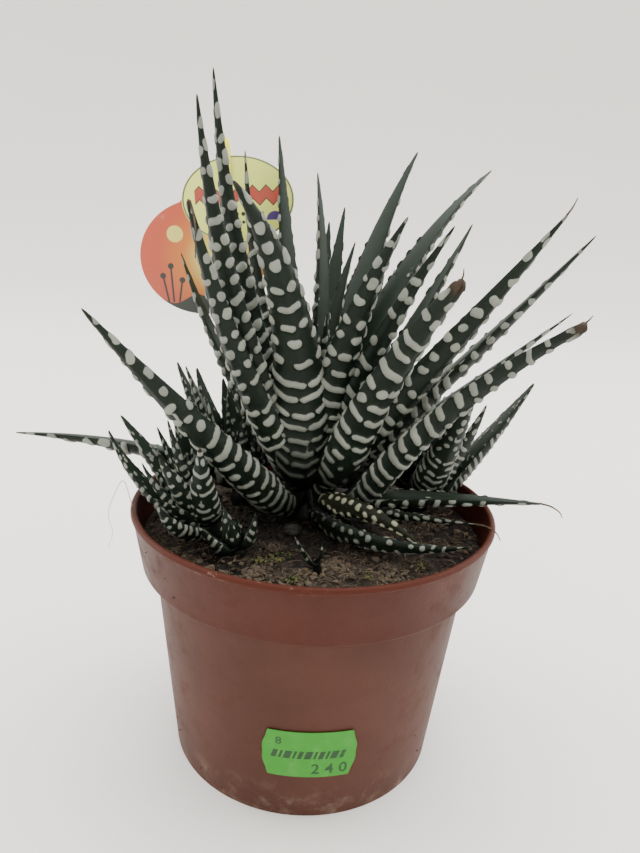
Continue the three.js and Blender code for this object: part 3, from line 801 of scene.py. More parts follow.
def add_crumb(bm, rng, at, size, flat=0.7):
    """One irregular lump, of few faces."""
    angle = rng.uniform(0, TURN)
    turn = Matrix.Rotation(angle, 4, Vector((rng.gauss(0, 1), rng.gauss(0, 1), rng.gauss(0, 1))))
    shape = Matrix.Diagonal((rng.uniform(0.7, 1.3), rng.uniform(0.6, 1.1), rng.uniform(0.5, 1.0), 1))
    squash = Matrix.Diagonal((1, 1, flat, 1))
    place = Matrix.Translation(at) @ squash @ turn @ shape
    made = bmesh.ops.create_icosphere(bm, subdivisions=1, radius=0.5 * size, matrix=place)
    for vert in made["verts"]:
        away = vert.co - Vector(at)
        vert.co += away * rng.uniform(-0.25, 0.35)
    return made["verts"]


# ---------- soil ----------
SHADE_REACH = 0.034  # metres from the stem to where the painted shade under the rosette ends
SHADE_CORE = 0.014  # and to where it is quite dark


def painted_shade_by_stem(w, place, base, peat, share):
    """The colour with dark peat over it near the mother's stem: painted shade under the rosette."""
    x, y, _ = w.axes(place)
    dx = w.math("SUBTRACT", x, MOTHER["at"][0] * MM)
    dy = w.math("SUBTRACT", y, (MOTHER["at"][1] - 5) * MM)
    near = w.step(w.distance(dx, dy), SHADE_REACH, SHADE_CORE)
    return w.blend(w.both(near, 0.85), base, shaded(peat, share))


def peat_finish(name):
    """Damp peat: dark and light grains, paler where it has dried."""
    s = bpy.context.scene.haworthia_soil
    material, w, shader = new_finish(name, 0.25, 0.88)
    place = w.place()
    grain = w.noise(place, 900, 6, 0.7)
    patch = w.noise(place, 90, 3)
    base = w.blend(w.step(grain, 0.42, 0.68), s.peat, s.dry_peat)
    base = w.blend(w.step(patch, 0.62, 0.38), base, shaded(s.peat, 0.45))
    base = w.blend(w.both(w.specks(place, 1600.0, 0.3), 0.5), base, s.fibre)
    # painted shade under the rosette, darkest at the stem
    base = painted_shade_by_stem(w, place, base, s.peat, 0.15)
    w.feed(shader.inputs["Base Color"], base)
    bump = w.node("ShaderNodeBump")
    w.feed(bump.inputs["Height"], grain)
    bump.inputs["Distance"].default_value = 0.0006
    w.feed(shader.inputs["Normal"], bump.outputs["Normal"])
    return material


def soil_profile():
    """The body of soil: its sides follow the pot's wall, and its top is a fan of rings."""
    floor = CHANNEL + WALL + GAP
    edge_top = SOIL_LEVEL - SOIL_EDGE_DROP
    side = [
        (0, floor),
        (body_radius(floor) - WALL - GAP - 1, floor),
        (body_radius(COLLAR_FOOT - 2) - WALL - GAP, COLLAR_FOOT - 2),
        (collar_radius(COLLAR_FOOT + 2) - WALL - GAP, COLLAR_FOOT + 2.5),
        (collar_radius(edge_top) - WALL - GAP, edge_top),
    ]
    rim = side[-1][0]
    return side + [(rim * (1 - i / SOIL_RINGS), SOIL_LEVEL) for i in range(1, SOIL_RINGS + 1)]


def make_soil():
    bm = bmesh.new()
    turned(bm, soil_profile(), SOIL_SEGMENTS)
    for vert in bm.verts:
        if vert.co.z < SOIL_LEVEL - 0.2:
            continue
        x, y, _ = vert.co
        lumps = noise.fractal(Vector((LUMP_WAVE * x, LUMP_WAVE * y, 3)), 0.8, 2.1, 3)
        crumble = noise.fractal(Vector((CRUMB_WAVE * x, CRUMB_WAVE * y, 9)), 0.9, 2.2, 3)
        vert.co.z = soil_height(x, y) + LUMP_RISE * lumps + CRUMB_RISE * crumble
    finished("compost", bm, [finish_named("peat", peat_finish)], "soil", sharp=180)


def litter_finish(name):
    """Crumbs from nearly black to dry brown, by the tone of each."""
    s = bpy.context.scene.haworthia_soil
    material, w, shader = new_finish(name, 0.25, 0.9)
    place = w.place()
    tone = w.attribute("tone")
    grain = w.noise(place, 1500, 3)
    base = w.blend(w.step(tone, 0.1, 0.8), s.peat, s.dry_peat)
    base = w.blend(w.step(tone, 0.86, 0.94), base, s.fibre)
    # crumbs of the perlite colour carry its painted shade
    base = w.blend(w.step(tone, 0.965, 0.98), base, s.perlite)
    base = w.blend(w.both(w.step(grain, 0.55, 0.35), 0.6), base, shaded(s.peat, 0.5))
    # painted shade under the rosette, darkest at the stem
    w.feed(shader.inputs["Base Color"], painted_shade_by_stem(w, place, base, s.peat, 0.25))
    return material


def fibre_finish(name):
    s = bpy.context.scene.haworthia_soil
    material, w, shader = new_finish(name, 0.3, 0.7)
    base = w.blend(w.attribute("tone"), shaded(s.fibre, 0.25), s.fibre)
    # painted shade under the rosette, darkest at the stem
    w.feed(shader.inputs["Base Color"], painted_shade_by_stem(w, w.place(), base, s.peat, 0.25))
    return material


def moss_finish(name):
    moss = bpy.context.scene.haworthia_soil.moss
    greener = (0.35 * moss[0], 0.6 * moss[1], 0.5 * moss[2])
    return mottled_finish(name, 0.2, 0.9, (700, 3), greener, moss, (0.35, 0.65))


def soil_spot(rng, reach=1.0):
    """A random place on the soil, inside the rim."""
    radius = (collar_radius(SOIL_LEVEL) - WALL - 1.2) * reach * math.sqrt(rng.random())
    turn = rng.uniform(0, TURN)
    return radius * math.cos(turn), radius * math.sin(turn)


def toned(bm, verts, tone):
    """Gives the vertices of one crumb or fibre their tone."""
    layer = bm.verts.layers.float["tone"]
    for vert in verts:
        vert[layer] = tone


# x, y, spread and number of crumbs of each clod, and how pale it is
CLODS = [
    (7.1, -26.1, 4.5, 110, 0.86),
    (-10.5, -18, 4.0, 80, 0.84),
    (10.7, -12.6, 3.0, 50, 0.8),
    (37.6, 7, 5.0, 110, 0.88),
    (-15, -34, 5.0, 90, 0.8),
    (-1, -33, 5.0, 90, 0.86),
    (22, -31, 5.0, 80, 0.72),
    (-38, -24, 4.0, 60, 0.76),
    (33, -12, 4.0, 60, 0.7),
    (1.9, -12.7, 1.5, 14, 0.97),
]


def make_crumbs():
    s = bpy.context.scene.haworthia_soil
    rng = random.Random(s.seed)
    bm = bmesh.new()
    bm.verts.layers.float.new("tone")
    for _ in range(s.crumbs):
        x, y = soil_spot(rng)
        size = 0.5 + 1.9 * rng.random() ** 3
        toned(bm, add_crumb(bm, rng, over_soil(x, y, 0.25 * size), size), rng.random())
    for x, y, spread, count, tone in CLODS:
        for _ in range(count):
            cx = rng.gauss(x, 0.5 * spread)
            cy = rng.gauss(y, 0.5 * spread)
            heap = max(0, 1 - math.hypot(cx - x, cy - y) / spread)
            at = over_soil(cx, cy, 1.6 * heap * rng.random())
            crumb = add_crumb(bm, rng, at, rng.uniform(0.7, 2.0), 0.85)
            toned(bm, crumb, rng.uniform(tone - 0.35, tone + 0.1))
    finished("compost_crumbs", bm, [finish_named("crumbs", litter_finish)], sharp=30)


def add_tube(bm, sides, cuts, radius=1.0, end_radius=1.0):
    """An upright tube of unit length in stretches, and its vertices."""
    ends = bmesh.ops.create_cone(
        bm,
        cap_ends=True,
        segments=sides,
        radius1=radius,
        radius2=end_radius,
        depth=1,
        matrix=Matrix.Translation((0, 0, 0.5)),
    )["verts"]
    upright = {e for v in ends for e in v.link_edges if abs(e.verts[0].co.z - e.verts[1].co.z) > 0.5}
    before = len(bm.verts)
    bmesh.ops.subdivide_edges(bm, edges=list(upright), cuts=cuts)
    bm.verts.ensure_lookup_table()
    return bm.verts[before - 2 * sides :]


def add_fibre(bm, at, length_mm, radius, heading, curl, rise):
    """One thin bent fibre: a cone that is cut into stretches and laid along a curve."""
    verts = add_tube(bm, 4, 5, radius, 0.6 * radius)
    for vert in verts:
        t = vert.co.z
        turn = heading + curl * t
        bearing = heading + 0.5 * curl * t
        centre = Vector(at) + Vector((math.cos(bearing), math.sin(bearing), 0)) * (length_mm * t)
        centre.z += rise * math.sin(math.pi * t) * length_mm
        side = Vector((-math.sin(turn), math.cos(turn), 0))
        vert.co = centre + side * vert.co.x + Vector((0, 0, vert.co.y))
    return verts


def make_fibres():
    s = bpy.context.scene.haworthia_soil
    rng = random.Random(s.seed + 1)
    bm = bmesh.new()
    bm.verts.layers.float.new("tone")
    for _ in range(s.fibres):
        x, y = soil_spot(rng, 0.97)
        verts = add_fibre(
            bm,
            over_soil(x, y, rng.uniform(0.2, 0.9)),
            rng.uniform(1.2, 5.0),
            rng.uniform(0.05, 0.14),
            rng.uniform(0, TURN),
            rng.gauss(0, 1.3),
            rng.uniform(-0.02, 0.2),
        )
        toned(bm, verts, rng.random())
    finished("compost_fibres", bm, [finish_named("fibres", fibre_finish)])


# x, y, radius and number of lumps of each tuft of moss
MOSS_TUFTS = [
    (-9, -24, 3.6, 70),
    (-14, -27, 2.6, 40),
    (-4, -36, 3.0, 36),
    (6, -26, 2.4, 16),
    (16, -31, 2.4, 16),
    (31, -24, 2.5, 14),
]


def make_moss():
    s = bpy.context.scene.haworthia_soil
    rng = random.Random(s.seed + 2)
    bm = bmesh.new()
    for cx, cy, spread, count in MOSS_TUFTS:
        for _ in range(count):
            x = rng.gauss(cx, 0.5 * spread)
            y = rng.gauss(cy, 0.4 * spread)
            size = rng.uniform(0.3, 0.8)
            add_crumb(bm, rng, over_soil(x, y, rng.uniform(0.2, 0.9)), size, 1.0)
    finished("moss", bm, [finish_named("moss", moss_finish)], sharp=30)


def perlite_finish(name):
    perlite = bpy.context.scene.haworthia_soil.perlite
    material, w, shader = new_finish(name, 0.2, 0.95)
    place = w.place()
    mottle = w.step(w.noise(place, 900, 4, 0.7), 0.4, 0.6)
    # painted shade: the grain's colour is darkened to the shade under the rosette
    w.feed(shader.inputs["Base Color"], w.blend(mottle, shaded(perlite, 0.35), perlite))
    w.grain(shader, place, 1400.0, 0.0004)
    return material


def make_perlite():
    bm = bmesh.new()
    at = Vector(over_soil(*PEBBLE_AT, PEBBLE_SQUASH * PEBBLE_RADIUS))
    bmesh.ops.create_icosphere(bm, subdivisions=4, radius=PEBBLE_RADIUS)
    for vert in bm.verts:
        bumps = noise.fractal(vert.co * 0.7, 0.8, 2.0, 3)
        vert.co *= 1 + 0.1 * bumps
        vert.co = at + Vector((1.08 * vert.co.x, vert.co.y, PEBBLE_SQUASH * vert.co.z))
    finishes = [finish_named("wet_perlite", perlite_finish)]
    finished("perlite_grain", bm, finishes, "perlite_lump", sharp=180)


# ---------- leaves ----------
def leaf_finish(name):
    """Dark waxy skin, greyer above, with grey-white tubercles, brown where it has dried, and painted shade
    near the stem.
    """
    s = bpy.context.scene.haworthia_leaf
    material, w, shader = new_finish(name, 0.15)
    place = w.place()
    mottle = w.noise(place, 160, 4)
    fine = w.noise(place, 1300, 3)
    base = w.blend(w.attribute("upper"), s.lower, s.upper)
    greener = (0.008, 0.016, 0.007)
    base = w.blend(w.both(w.step(mottle, 0.4, 0.75), 0.55), base, greener)
    base = w.blend(w.attribute("cream"), base, s.olive)
    along = w.attribute("along")
    # painted shade: the skin turns near-black towards the stem
    base = w.blend(w.step(along, 0.22, 0.0), base, s.root)
    ragged = w.math("MULTIPLY", w.math("SUBTRACT", fine, 0.5), 0.14)
    edge = w.math("ADD", w.attribute("tubercle"), ragged)
    raised = w.step(edge, -0.06, 0.16)
    white = w.blend(w.step(mottle, 0.35, 0.7), shaded(s.tubercle, 0.72), s.tubercle)
    white = w.blend(w.attribute("cream"), white, s.cream)
    # painted shade: the tubercles fade into the dark lower skin towards the stem
    white = w.blend(w.both(w.step(along, 0.27, 0.03), 0.85), white, s.lower)
    base = w.blend(raised, base, white)
    base = w.blend(w.attribute("dry"), base, s.dry)
    w.feed(shader.inputs["Base Color"], base)
    rough = w.math("ADD", 0.46, w.math("MULTIPLY", raised, 0.14))
    w.feed(shader.inputs["Roughness"], rough)
    w.grain(shader, place, 1500.0, 0.00005)
    return material


_templates = {}


def blade_template(rings):
    """A closed tube of unit size: its mesh, and the ring and the place round it of each vertex."""
    if rings not in _templates:
        bm = bmesh.new()
        bmesh.ops.create_cone(
            bm,
            cap_ends=True,
            segments=SIDES,
            radius1=1,
            radius2=1,
            depth=1,
            matrix=Matrix.Translation((0, 0, 0.5)),
        )
        upright = [e for e in bm.edges if abs(e.verts[0].co.z - e.verts[1].co.z) > 0.5]
        bmesh.ops.subdivide_edges(bm, edges=upright, cuts=rings - 2)
        mesh = mesh_of(bm, "blade")
        x, y, z = vertex_places(mesh).T
        ring = np.rint(z * (rings - 1)).astype(int)
        place = np.rint(np.arctan2(-x, y) / TURN * SIDES).astype(int) % SIDES
        _templates[rings] = (mesh, ring, place)
    return _templates[rings]


def leaf_axes(leaf, s, elbow=ELBOW):
    """Along, side and lower directions at each share of the length, in the rosette's frame."""
    azimuth = np.radians(leaf["azimuth"] + leaf["swing"] * s)
    turned_up = np.clip(1 - s / ELBOW_SHARE, 0, 1) ** 2
    rise = np.radians(mix(leaf["rise0"], leaf["rise1"], s) - elbow * turned_up)
    level = np.cos(rise)
    along = np.stack([level * np.cos(azimuth), level * np.sin(azimuth), np.sin(rise)], 1)
    flat = np.stack([-np.sin(azimuth), np.cos(azimuth), 0 * azimuth], 1)
    roll = math.radians(leaf["roll"])
    side = flat * math.cos(roll) + np.cross(along, flat) * math.sin(roll)
    return along, side, np.cross(side, along)


def leaf_elbow(leaf):
    """The place of a leaf's elbow. The stretch beyond it is that of a leaf without an elbow."""
    turn = math.radians(leaf["azimuth"])
    root = np.array([math.cos(turn), math.sin(turn), 0]) * leaf["root_radius"]
    root[2] = leaf["root_height"]
    s = np.linspace(0, ELBOW_SHARE, 9)
    straight = leaf_axes(leaf, 0.5 * (s[1:] + s[:-1]), 0)[0]
    return root + straight.sum(0) * leaf["length"] * ELBOW_SHARE / 8


def leaf_section(leaf, s):
    """Half width, keeled depth and crown at each share of the length."""
    beyond = np.clip((s - WIDEST_AT) / (1 - WIDEST_AT), 0, 1)
    swell = np.clip(s / WIDEST_AT, 0, 1)
    near_root = mix(ROOT_WIDTH, 1, np.sin(0.5 * np.pi * swell))
    share = np.where(s < WIDEST_AT, near_root, mix(1, leaf["tip"], beyond**TAPER))
    closing = np.sqrt(np.clip(1 - ((s - CLOSING) / CLOSING_REACH) ** 2, 0, 1))
    share = share * np.where(s > CLOSING, closing, 1)
    half = np.maximum(0.06, 0.5 * leaf["width"] * share)
    return half, half * mix(*KEEL_DEPTH, s), half * CROWN


def along_rows(rows, s):
    """Spacing and half thickness of the tubercles at a share of the length."""
    shares = [row[0] for row in rows]
    spacing = np.interp(s, shares, [row[1] for row in rows])
    radius = np.interp(s, shares, [row[2] for row in rows])
    return float(spacing), float(radius)


def raise_stroke(field, u, x, points, radius):
    """Raises the field to the nearness of a stroke, a chain of (along, across) points."""
    lowest = min(p[0] for p in points) - radius - STROKE_MARGIN
    highest = max(p[0] for p in points) + radius + STROKE_MARGIN
    rows = slice(*np.searchsorted(u[:, 0], (lowest, highest)))
    if rows.start >= rows.stop:
        return
    near_u = u[rows]
    near_x = x[rows]
    for (u0, x0), (u1, x1) in zip(points, points[1:] or points):
        du = u1 - u0
        dx = x1 - x0
        t = np.clip(((near_u - u0) * du + (near_x - x0) * dx) / (du * du + dx * dx + 1e-9), 0, 1)
        near = radius - np.hypot(near_u - u0 - t * du, near_x - x0 - t * dx)
        np.maximum(field[rows], near, out=field[rows])


def cells_across(rng, reach, s, dense):
    """Splits the lower side into the cells of one row: (from, to) pairs in -1 to 1."""
    if reach > 4.5:
        odds = (14, 36, 32, 18) if s < 0.35 else (6, 26, 40, 28)
    elif reach > 2.4:
        odds = (26, 44, 30, 0) if s < 0.5 else (10, 48, 42, 0)
    else:
        odds = (45, 55, 0, 0)
    if dense:
        odds = (10, 25, 40, 25) if reach > 3 else (30, 45, 25, 0)
    count = rng.choices((1, 2, 3, 4), odds)[0]
    cuts = [-MARGIN + 2 * MARGIN * i / count for i in range(count + 1)]
    for i in range(1, count):
        cuts[i] += rng.uniform(-0.35, 0.35) / count
    return list(zip(cuts, cuts[1:]))


def tubercle_field(rng, leaf, u, reach, rows, dense, dotty):
    """How deep each vertex lies in a tubercle, in millimetres. Below 0 is plain skin.

    A row is a band across the lower side, bent towards the tip at the margins and broken into
    cells. Some cells are short and make dots, and more of them near the tip.
    """
    field = np.full((len(u), SIDES), -1.0)
    v = 2 * np.arange(LOWER_SIDES) / LOWER_SIDES - 1
    x = reach[:, None] * v[None, :]
    wave = rng.uniform(0, 9)
    wobble = 0.14 * np.sin(1.5 * x + wave) + 0.05 * np.sin(3.1 * x + 1.3 * u[:, None] + 2 * wave)
    grid_u = u[:, None] + wobble
    grid_x = x + 0.1 * np.sin(1.9 * u[:, None] + wave)
    lower = field[:, UPPER_SIDES:]
    scale = 1.0 if dense else math.sqrt(leaf["width"] / FULL_WIDTH)
    at = FIRST_ROW
    while at < leaf["length"] * CLOSING:
        s = at / leaf["length"]
        spacing, radius = (scale * value for value in along_rows(rows, s))
        here = float(np.interp(at, u, reach))
        at += spacing * rng.uniform(0.92, 1.08)
        if here < THIN:
            dash = [(at, 0), (at + 0.3 * spacing, 0)]
            raise_stroke(lower, grid_u, grid_x, dash, 0.26 * here)
            continue
        bend = ROW_BEND * here
        dotted = 0.85 if dotty else 0.12 + 0.62 * smooth_step(0.2, 0.55, s)
        for left, right in cells_across(rng, here, s, dense):
            size = min(radius * rng.uniform(0.85, 1.15), 0.42 * here)
            left += (size + SEAM) / here
            right -= (size + SEAM) / here
            middle = 0.5 * (left + right)
            if right < left:
                left = right = middle
            lengthen = 0.0
            if rng.random() < dotted:
                shrink = rng.uniform(0.55, 1.0)
                left = mix(left, middle, shrink)
                right = mix(right, middle, shrink)
                size = min(1.15 * size, mix(0.42, 0.3, s) * here)
                lengthen = rng.uniform(0.1, 0.7) * shrink * (1 + 2.6 * smooth_step(0.45, 0.85, s))
            shift = rng.gauss(0, 0.07) * spacing
            lengthen += 0.3 * spacing * smooth_step(0.7, 1.0, s)
            points = []
            for i in range(5):
                w = mix(left, right, i / 4)
                points.append((at + shift + bend * w * w + lengthen * i / 4, w * here))
            raise_stroke(lower, grid_u, grid_x, points, size)
        for edge in (-1, 1):
            start = at + bend + rng.uniform(-0.25, 0.05) * spacing
            stretch = rng.uniform(0.3, 0.62) * spacing
            dash = [(start, 0.93 * edge * here), (start + stretch, 0.95 * edge * here)]
            thin = rng.uniform(0.45, 0.72) * mix(1, 0.75, s)
            raise_stroke(lower, grid_u, grid_x, dash, thin * radius)
        if rng.random() < KEEL_TICKS:
            tail = rng.uniform(0.35, 0.7) * spacing
            tick = [(at, 0), (at + tail, 0.02 * here)]
            raise_stroke(lower, grid_u, grid_x, tick, 0.4 * radius)
    dot_upper_side(rng, field, leaf, u, reach, dense)
    field[:, 0] = field[:, -1]
    return field


def dot_upper_side(rng, field, leaf, u, reach, dense):
    """A few small dots on the upper side, most of them near its margins."""
    v = 1 - 2 * np.arange(UPPER_SIDES) / UPPER_SIDES
    half = 0.68 * reach
    x = half[:, None] * v[None, :]
    grid_u = np.repeat(u[:, None], UPPER_SIDES, 1)
    upper = field[:, :UPPER_SIDES]
    count = int(leaf["length"] * (0.75 if dense else 0.22))
    for _ in range(count):
        at = rng.uniform(0.1, 0.85 if dense else 0.6) * leaf["length"]
        here = float(np.interp(at, u, half))
        across = rng.choice((-1, 1)) * here * rng.uniform(0.15 if dense else 0.45, 0.85)
        size = rng.uniform(0.28, 0.5)
        points = [(at, across), (at + rng.uniform(0, 0.8), across)]
        raise_stroke(upper, grid_u, x, points, min(size, 0.3 * here))


def leaf_mesh(rosette, leaf, rng, rings, relief, rows, dense, dotty=False, cream=0.0, dark=1.0):
    """One leaf in millimetres: a tapering keeled blade with raised tubercles.

    Dense rows have more cells, and most cells of a dotty leaf are dots. The painted shade at the
    root of a leaf reaches farther up it where dark is less than 1.
    """
    template, ring, place = blade_template(rings)
    mesh = template.copy()
    span = leaf["length"]
    s = np.linspace(-rosette["sunk"] / span, 1, rings)
    shares = np.clip(s, 0, 1)
    u = s * span
    middle = np.clip(0.5 * (s[1:] + s[:-1]), 0, 1)
    steps = leaf_axes(leaf, middle)[0] * np.diff(u)[:, None]
    centre = leaf_elbow(leaf) + np.vstack([np.zeros(3), np.cumsum(steps, 0)])
    at_elbow = np.array([np.interp(ELBOW_SHARE, s, centre[:, axis]) for axis in range(3)])
    centre += leaf_elbow(leaf) - at_elbow
    _, side, lower = leaf_axes(leaf, shares)
    half, depth, crown = (value[:, None] for value in leaf_section(leaf, shares))
    over = np.pi * np.arange(UPPER_SIDES) / UPPER_SIDES
    under = np.pi * np.arange(LOWER_SIDES) / LOWER_SIDES
    keel = 1 + 0.07 * np.exp(-((np.cos(under) / 0.25) ** 2))
    across = np.hstack([half * np.cos(over), -half * np.cos(under)])
    down = np.hstack([-crown * np.sin(over), depth * np.sin(under) * keel])
    out_across = np.hstack([0.2 * np.cos(over) + 0 * half, -np.cos(under) * depth])
    out_down = np.hstack([-1 + 0 * crown + 0 * over, np.sin(under) * half])
    size = np.hypot(out_across, out_down) + 1e-9
    reach = 0.25 * np.pi * (half + depth)[:, 0]
    field = tubercle_field(rng, leaf, u, reach, rows, dense, dotty)
    dome = np.clip((field + DOME_FOOT) / DOME_REACH, 0, 1)
    height = relief * dome * (2 - dome) * np.minimum(1, half / FULL_RELIEF)
    across = across + height * out_across / size
    down = down + height * out_down / size
    if leaf["tip"] > BLUNT:
        ragged = smooth_step(0.9, 1.0, shares)[:, None] * half
        across = across * (1 - 0.25 * smooth_step(0.92, 1, shares)[:, None])
        down = down + 0.3 * ragged * np.sin(5 * across + 7 * s[:, None])
    grid = centre[:, None] + side[:, None] * across[..., None] + lower[:, None] * down[..., None]
    mesh.vertices.foreach_set("co", grid[ring, place].ravel())
    upper = np.hstack([np.sin(over) ** 0.35, np.zeros(LOWER_SIDES)])
    upper = np.repeat(upper[None, :], rings, 0)
    if leaf["tip"] > BLUNT:
        dried = smooth_step(0.93, 0.985, shares)
    else:
        dried = 0.7 * smooth_step(0.97, 1.0, shares)
    for name, values in (
        ("tubercle", field),
        ("upper", upper),
        # along sets how far the painted shade at the root reaches
        ("along", np.repeat(dark * shares[:, None], SIDES, 1)),
        ("dry", np.repeat(dried[:, None], SIDES, 1)),
        ("cream", np.full(field.shape, cream)),
    ):
        number_vertices(mesh, name, values[ring, place])
    return mesh


def leaning(rosette):
    """Takes a leaf from its rosette's own frame into the part's."""
    azimuth = math.radians(rosette["lean_azimuth"])
    axis = Vector((-math.sin(azimuth), math.cos(azimuth), 0))
    turn = Matrix.Rotation(math.radians(rosette["lean"]), 4, axis)
    return Matrix.Translation((*rosette["at"], SOIL_LEVEL)) @ turn


def crown_mesh(rosette):
    """The short stem that the leaves grow from."""
    bm = bmesh.new()
    profile = [
        (0, -1.5),
        (0.95 * rosette["stem_radius"], -1.5),
        (rosette["stem_radius"], 0.3 * rosette["first_root"]),
        (rosette["crown_radius"], rosette["last_root"]),
        (0, rosette["last_root"] + rosette["crown_radius"]),
    ]
    turned(bm, rounded(profile, (0.5, 2, 1)), 32)
    mesh = mesh_of(bm)
    number_vertices(mesh, "tubercle", np.full(len(mesh.vertices), -1.0))
    return mesh


def rooted(rosette, row, rank, inset):
    """A leaf of a row of numbers, with its root's place on the stem.

    The root rises with the rank from 0 to 1, and moves towards the middle with the inset.
    """
    leaf = dict(zip(LEAF_COLUMNS, row))
    height = mix(rosette["first_root"], rosette["last_root"], rank)
    radius = mix(rosette["root_radius"], rosette["crown_radius"], inset)
    leaf["root_height"] = height + leaf["up"]
    leaf["root_radius"] = radius + leaf["out"]
    return leaf


def listed_leaves(rosette, rows):
    """Leaves from a table of rows, each root higher on the stem than the one before."""
    last = len(rows) - 1
    return [rooted(rosette, row, i / last, (i / last) ** 2) for i, row in enumerate(rows)]


def mother_leaves():
    return listed_leaves(MOTHER, MOTHER_LEAVES)


def offset_rosette(name, at, lean, lean_azimuth, span, width):
    return {
        "name": name,
        "at": at,
        "lean": lean,
        "lean_azimuth": lean_azimuth,
        "length": span,
        "width": width,
        "stem_radius": 0.44 * width,
        "crown_radius": 0.16 * width,
        "root_radius": 0.38 * width,
        "first_root": 0.08 * span + 2.5,
        "last_root": 0.24 * span + 2.5,
        "sunk": 0.25 * width,
    }


def offset_leaves(rosette):
    """Leaves by the golden angle: flatter and longer outside, steep and short inside."""
    if rosette["name"] in LISTED:
        return listed_leaves(rosette, LISTED[rosette["name"]])
    spread, count, first, crowded = SPIRALS[rosette["name"]]
    leaves = []
    for i in range(count):
        if i in crowded:
            continue
        rank = i / (count - 1)
        uneven = math.sin(SCATTER * i + first)
        rise = mix(spread, INNERMOST_RISE, rank**0.8) + 3 * uneven
        azimuth = first + GOLDEN_ANGLE * i
        end_rise = mix(rise + 4, INNERMOST_RISE + 2, rank)
        span = rosette["length"] * mix(1, 0.5, rank) * (1 + 0.08 * uneven)
        width = rosette["width"] * mix(1, 0.55, rank)
        row = (azimuth, 6 * uneven, rise, end_rise, span, width, 0, SPIRAL_TIP, 0, 0)
        leaves.append(rooted(rosette, row, rank, rank))
    return leaves


def make_main_rosette():
    s = bpy.context.scene.haworthia_leaf
    skin = finish_named("leaf_skin", leaf_finish)
    place = leaning(MOTHER)
    for i, leaf in enumerate(mother_leaves()):
        rings = max(90, 15 * round(s.rings * leaf["length"] / 1500))
        small = i <= TWISTED_LEAF
        mesh = leaf_mesh(
            MOTHER,
            leaf,
            random.Random(s.seed + 31 * i),
            rings,
            s.relief / MM,
            OFFSET_ROWS if small else MOTHER_ROWS,
            dense=small,
            dotty=small,
            cream=1.0 if i == TWISTED_LEAF else 0.0,
            # the painted shade at the root reaches farther up the first leaf
            dark=0.4 if i == 0 else 1.0,
        )
        mesh.transform(place)
        finished(f"main_leaf_{i + 1:02d}", mesh, [skin], "main_rosette", sharp=75)
    crown = crown_mesh(MOTHER)
    crown.transform(place)
    finished("main_crown", crown, [skin], "main_rosette")


def fused(meshes):
    """One mesh of several, with their attributes."""
    bm = bmesh.new()
    for mesh in meshes:
        bm.from_mesh(mesh)
    return mesh_of(bm)


def make_offsets():
    s = bpy.context.scene.haworthia_leaf
    skin = finish_named("leaf_skin", leaf_finish)
    relief = s.offset_relief / MM
    for row in OFFSETS:
        rosette = offset_rosette(*row)
        name = rosette["name"]
        meshes = []
        for i, leaf in enumerate(offset_leaves(rosette)):
            rng = random.Random(f"{name}{i}{s.seed}")
            rings = max(24, 12 * round(1.9 * leaf["length"] / 12))
            meshes.append(leaf_mesh(rosette, leaf, rng, rings, relief, OFFSET_ROWS, dense=True))
        meshes.append(crown_mesh(rosette))
        whole_offset = fused(meshes)
        whole_offset.transform(leaning(rosette))
        finished(name + "_leaves", whole_offset, [skin], name, sharp=75)


# ---------- dried tips and the loose hair ----------
def withered_finish(name):
    dry = bpy.context.scene.haworthia_leaf.dry
    return mottled_finish(name, 0.3, 0.75, (800, 3), dry, shaded(dry, 2.2), (0.4, 0.7))


def hair_finish(name):
    brown = (0.28, 0.24, 0.2)
    pale = (0.5, 0.46, 0.4)
    return mottled_finish(name, 0.3, 0.6, (500, 2), brown, pale)


def add_strand(bm, points, radius, end_radius):
    """A thin tube along a smooth line through the points."""
    stretches = len(points) - 1
    verts = add_tube(bm, 7, 10 * stretches)
    line = [Vector(p) for p in points]
    line = [2 * line[0] - line[1], *line, 2 * line[-1] - line[-2]]

    def at(t):
        i = min(int(t * stretches), stretches - 1)
        f = t * stretches - i
        a, b, c, d = line[i : i + 4]
        bent = (2 * a - 5 * b + 4 * c - d) * f**2 + (3 * b - a - 3 * c + d) * f**3
        return 0.5 * (2 * b + (c - a) * f + bent)

    for vert in verts:
        t = vert.co.z
        tangent = (at(min(1, t + 0.01)) - at(max(0, t - 0.01))).normalized()
        side = Vector((0, 0, 1)).cross(tangent)
        side = side.normalized() if side.length > 0.05 else Vector((1, 0, 0))
        up = tangent.cross(side)
        thick = mix(radius, end_radius, t)
        vert.co = at(t) + (side * vert.co.x + up * vert.co.y) * thick


def leaf_tip(index):
    """Where a leaf of the mother ends, and its direction there, in millimetres."""
    leaf = mother_leaves()[index]
    s = np.linspace(ELBOW_SHARE, 1, 60)
    steps = leaf_axes(leaf, 0.5 * (s[1:] + s[:-1]))[0] * (leaf["length"] * (1 - ELBOW_SHARE) / 59)
    end = Vector(leaf_elbow(leaf) + steps.sum(0))
    place = leaning(MOTHER)
    return place @ end, place.to_3x3() @ Vector(leaf_axes(leaf, np.ones(1))[0][0])


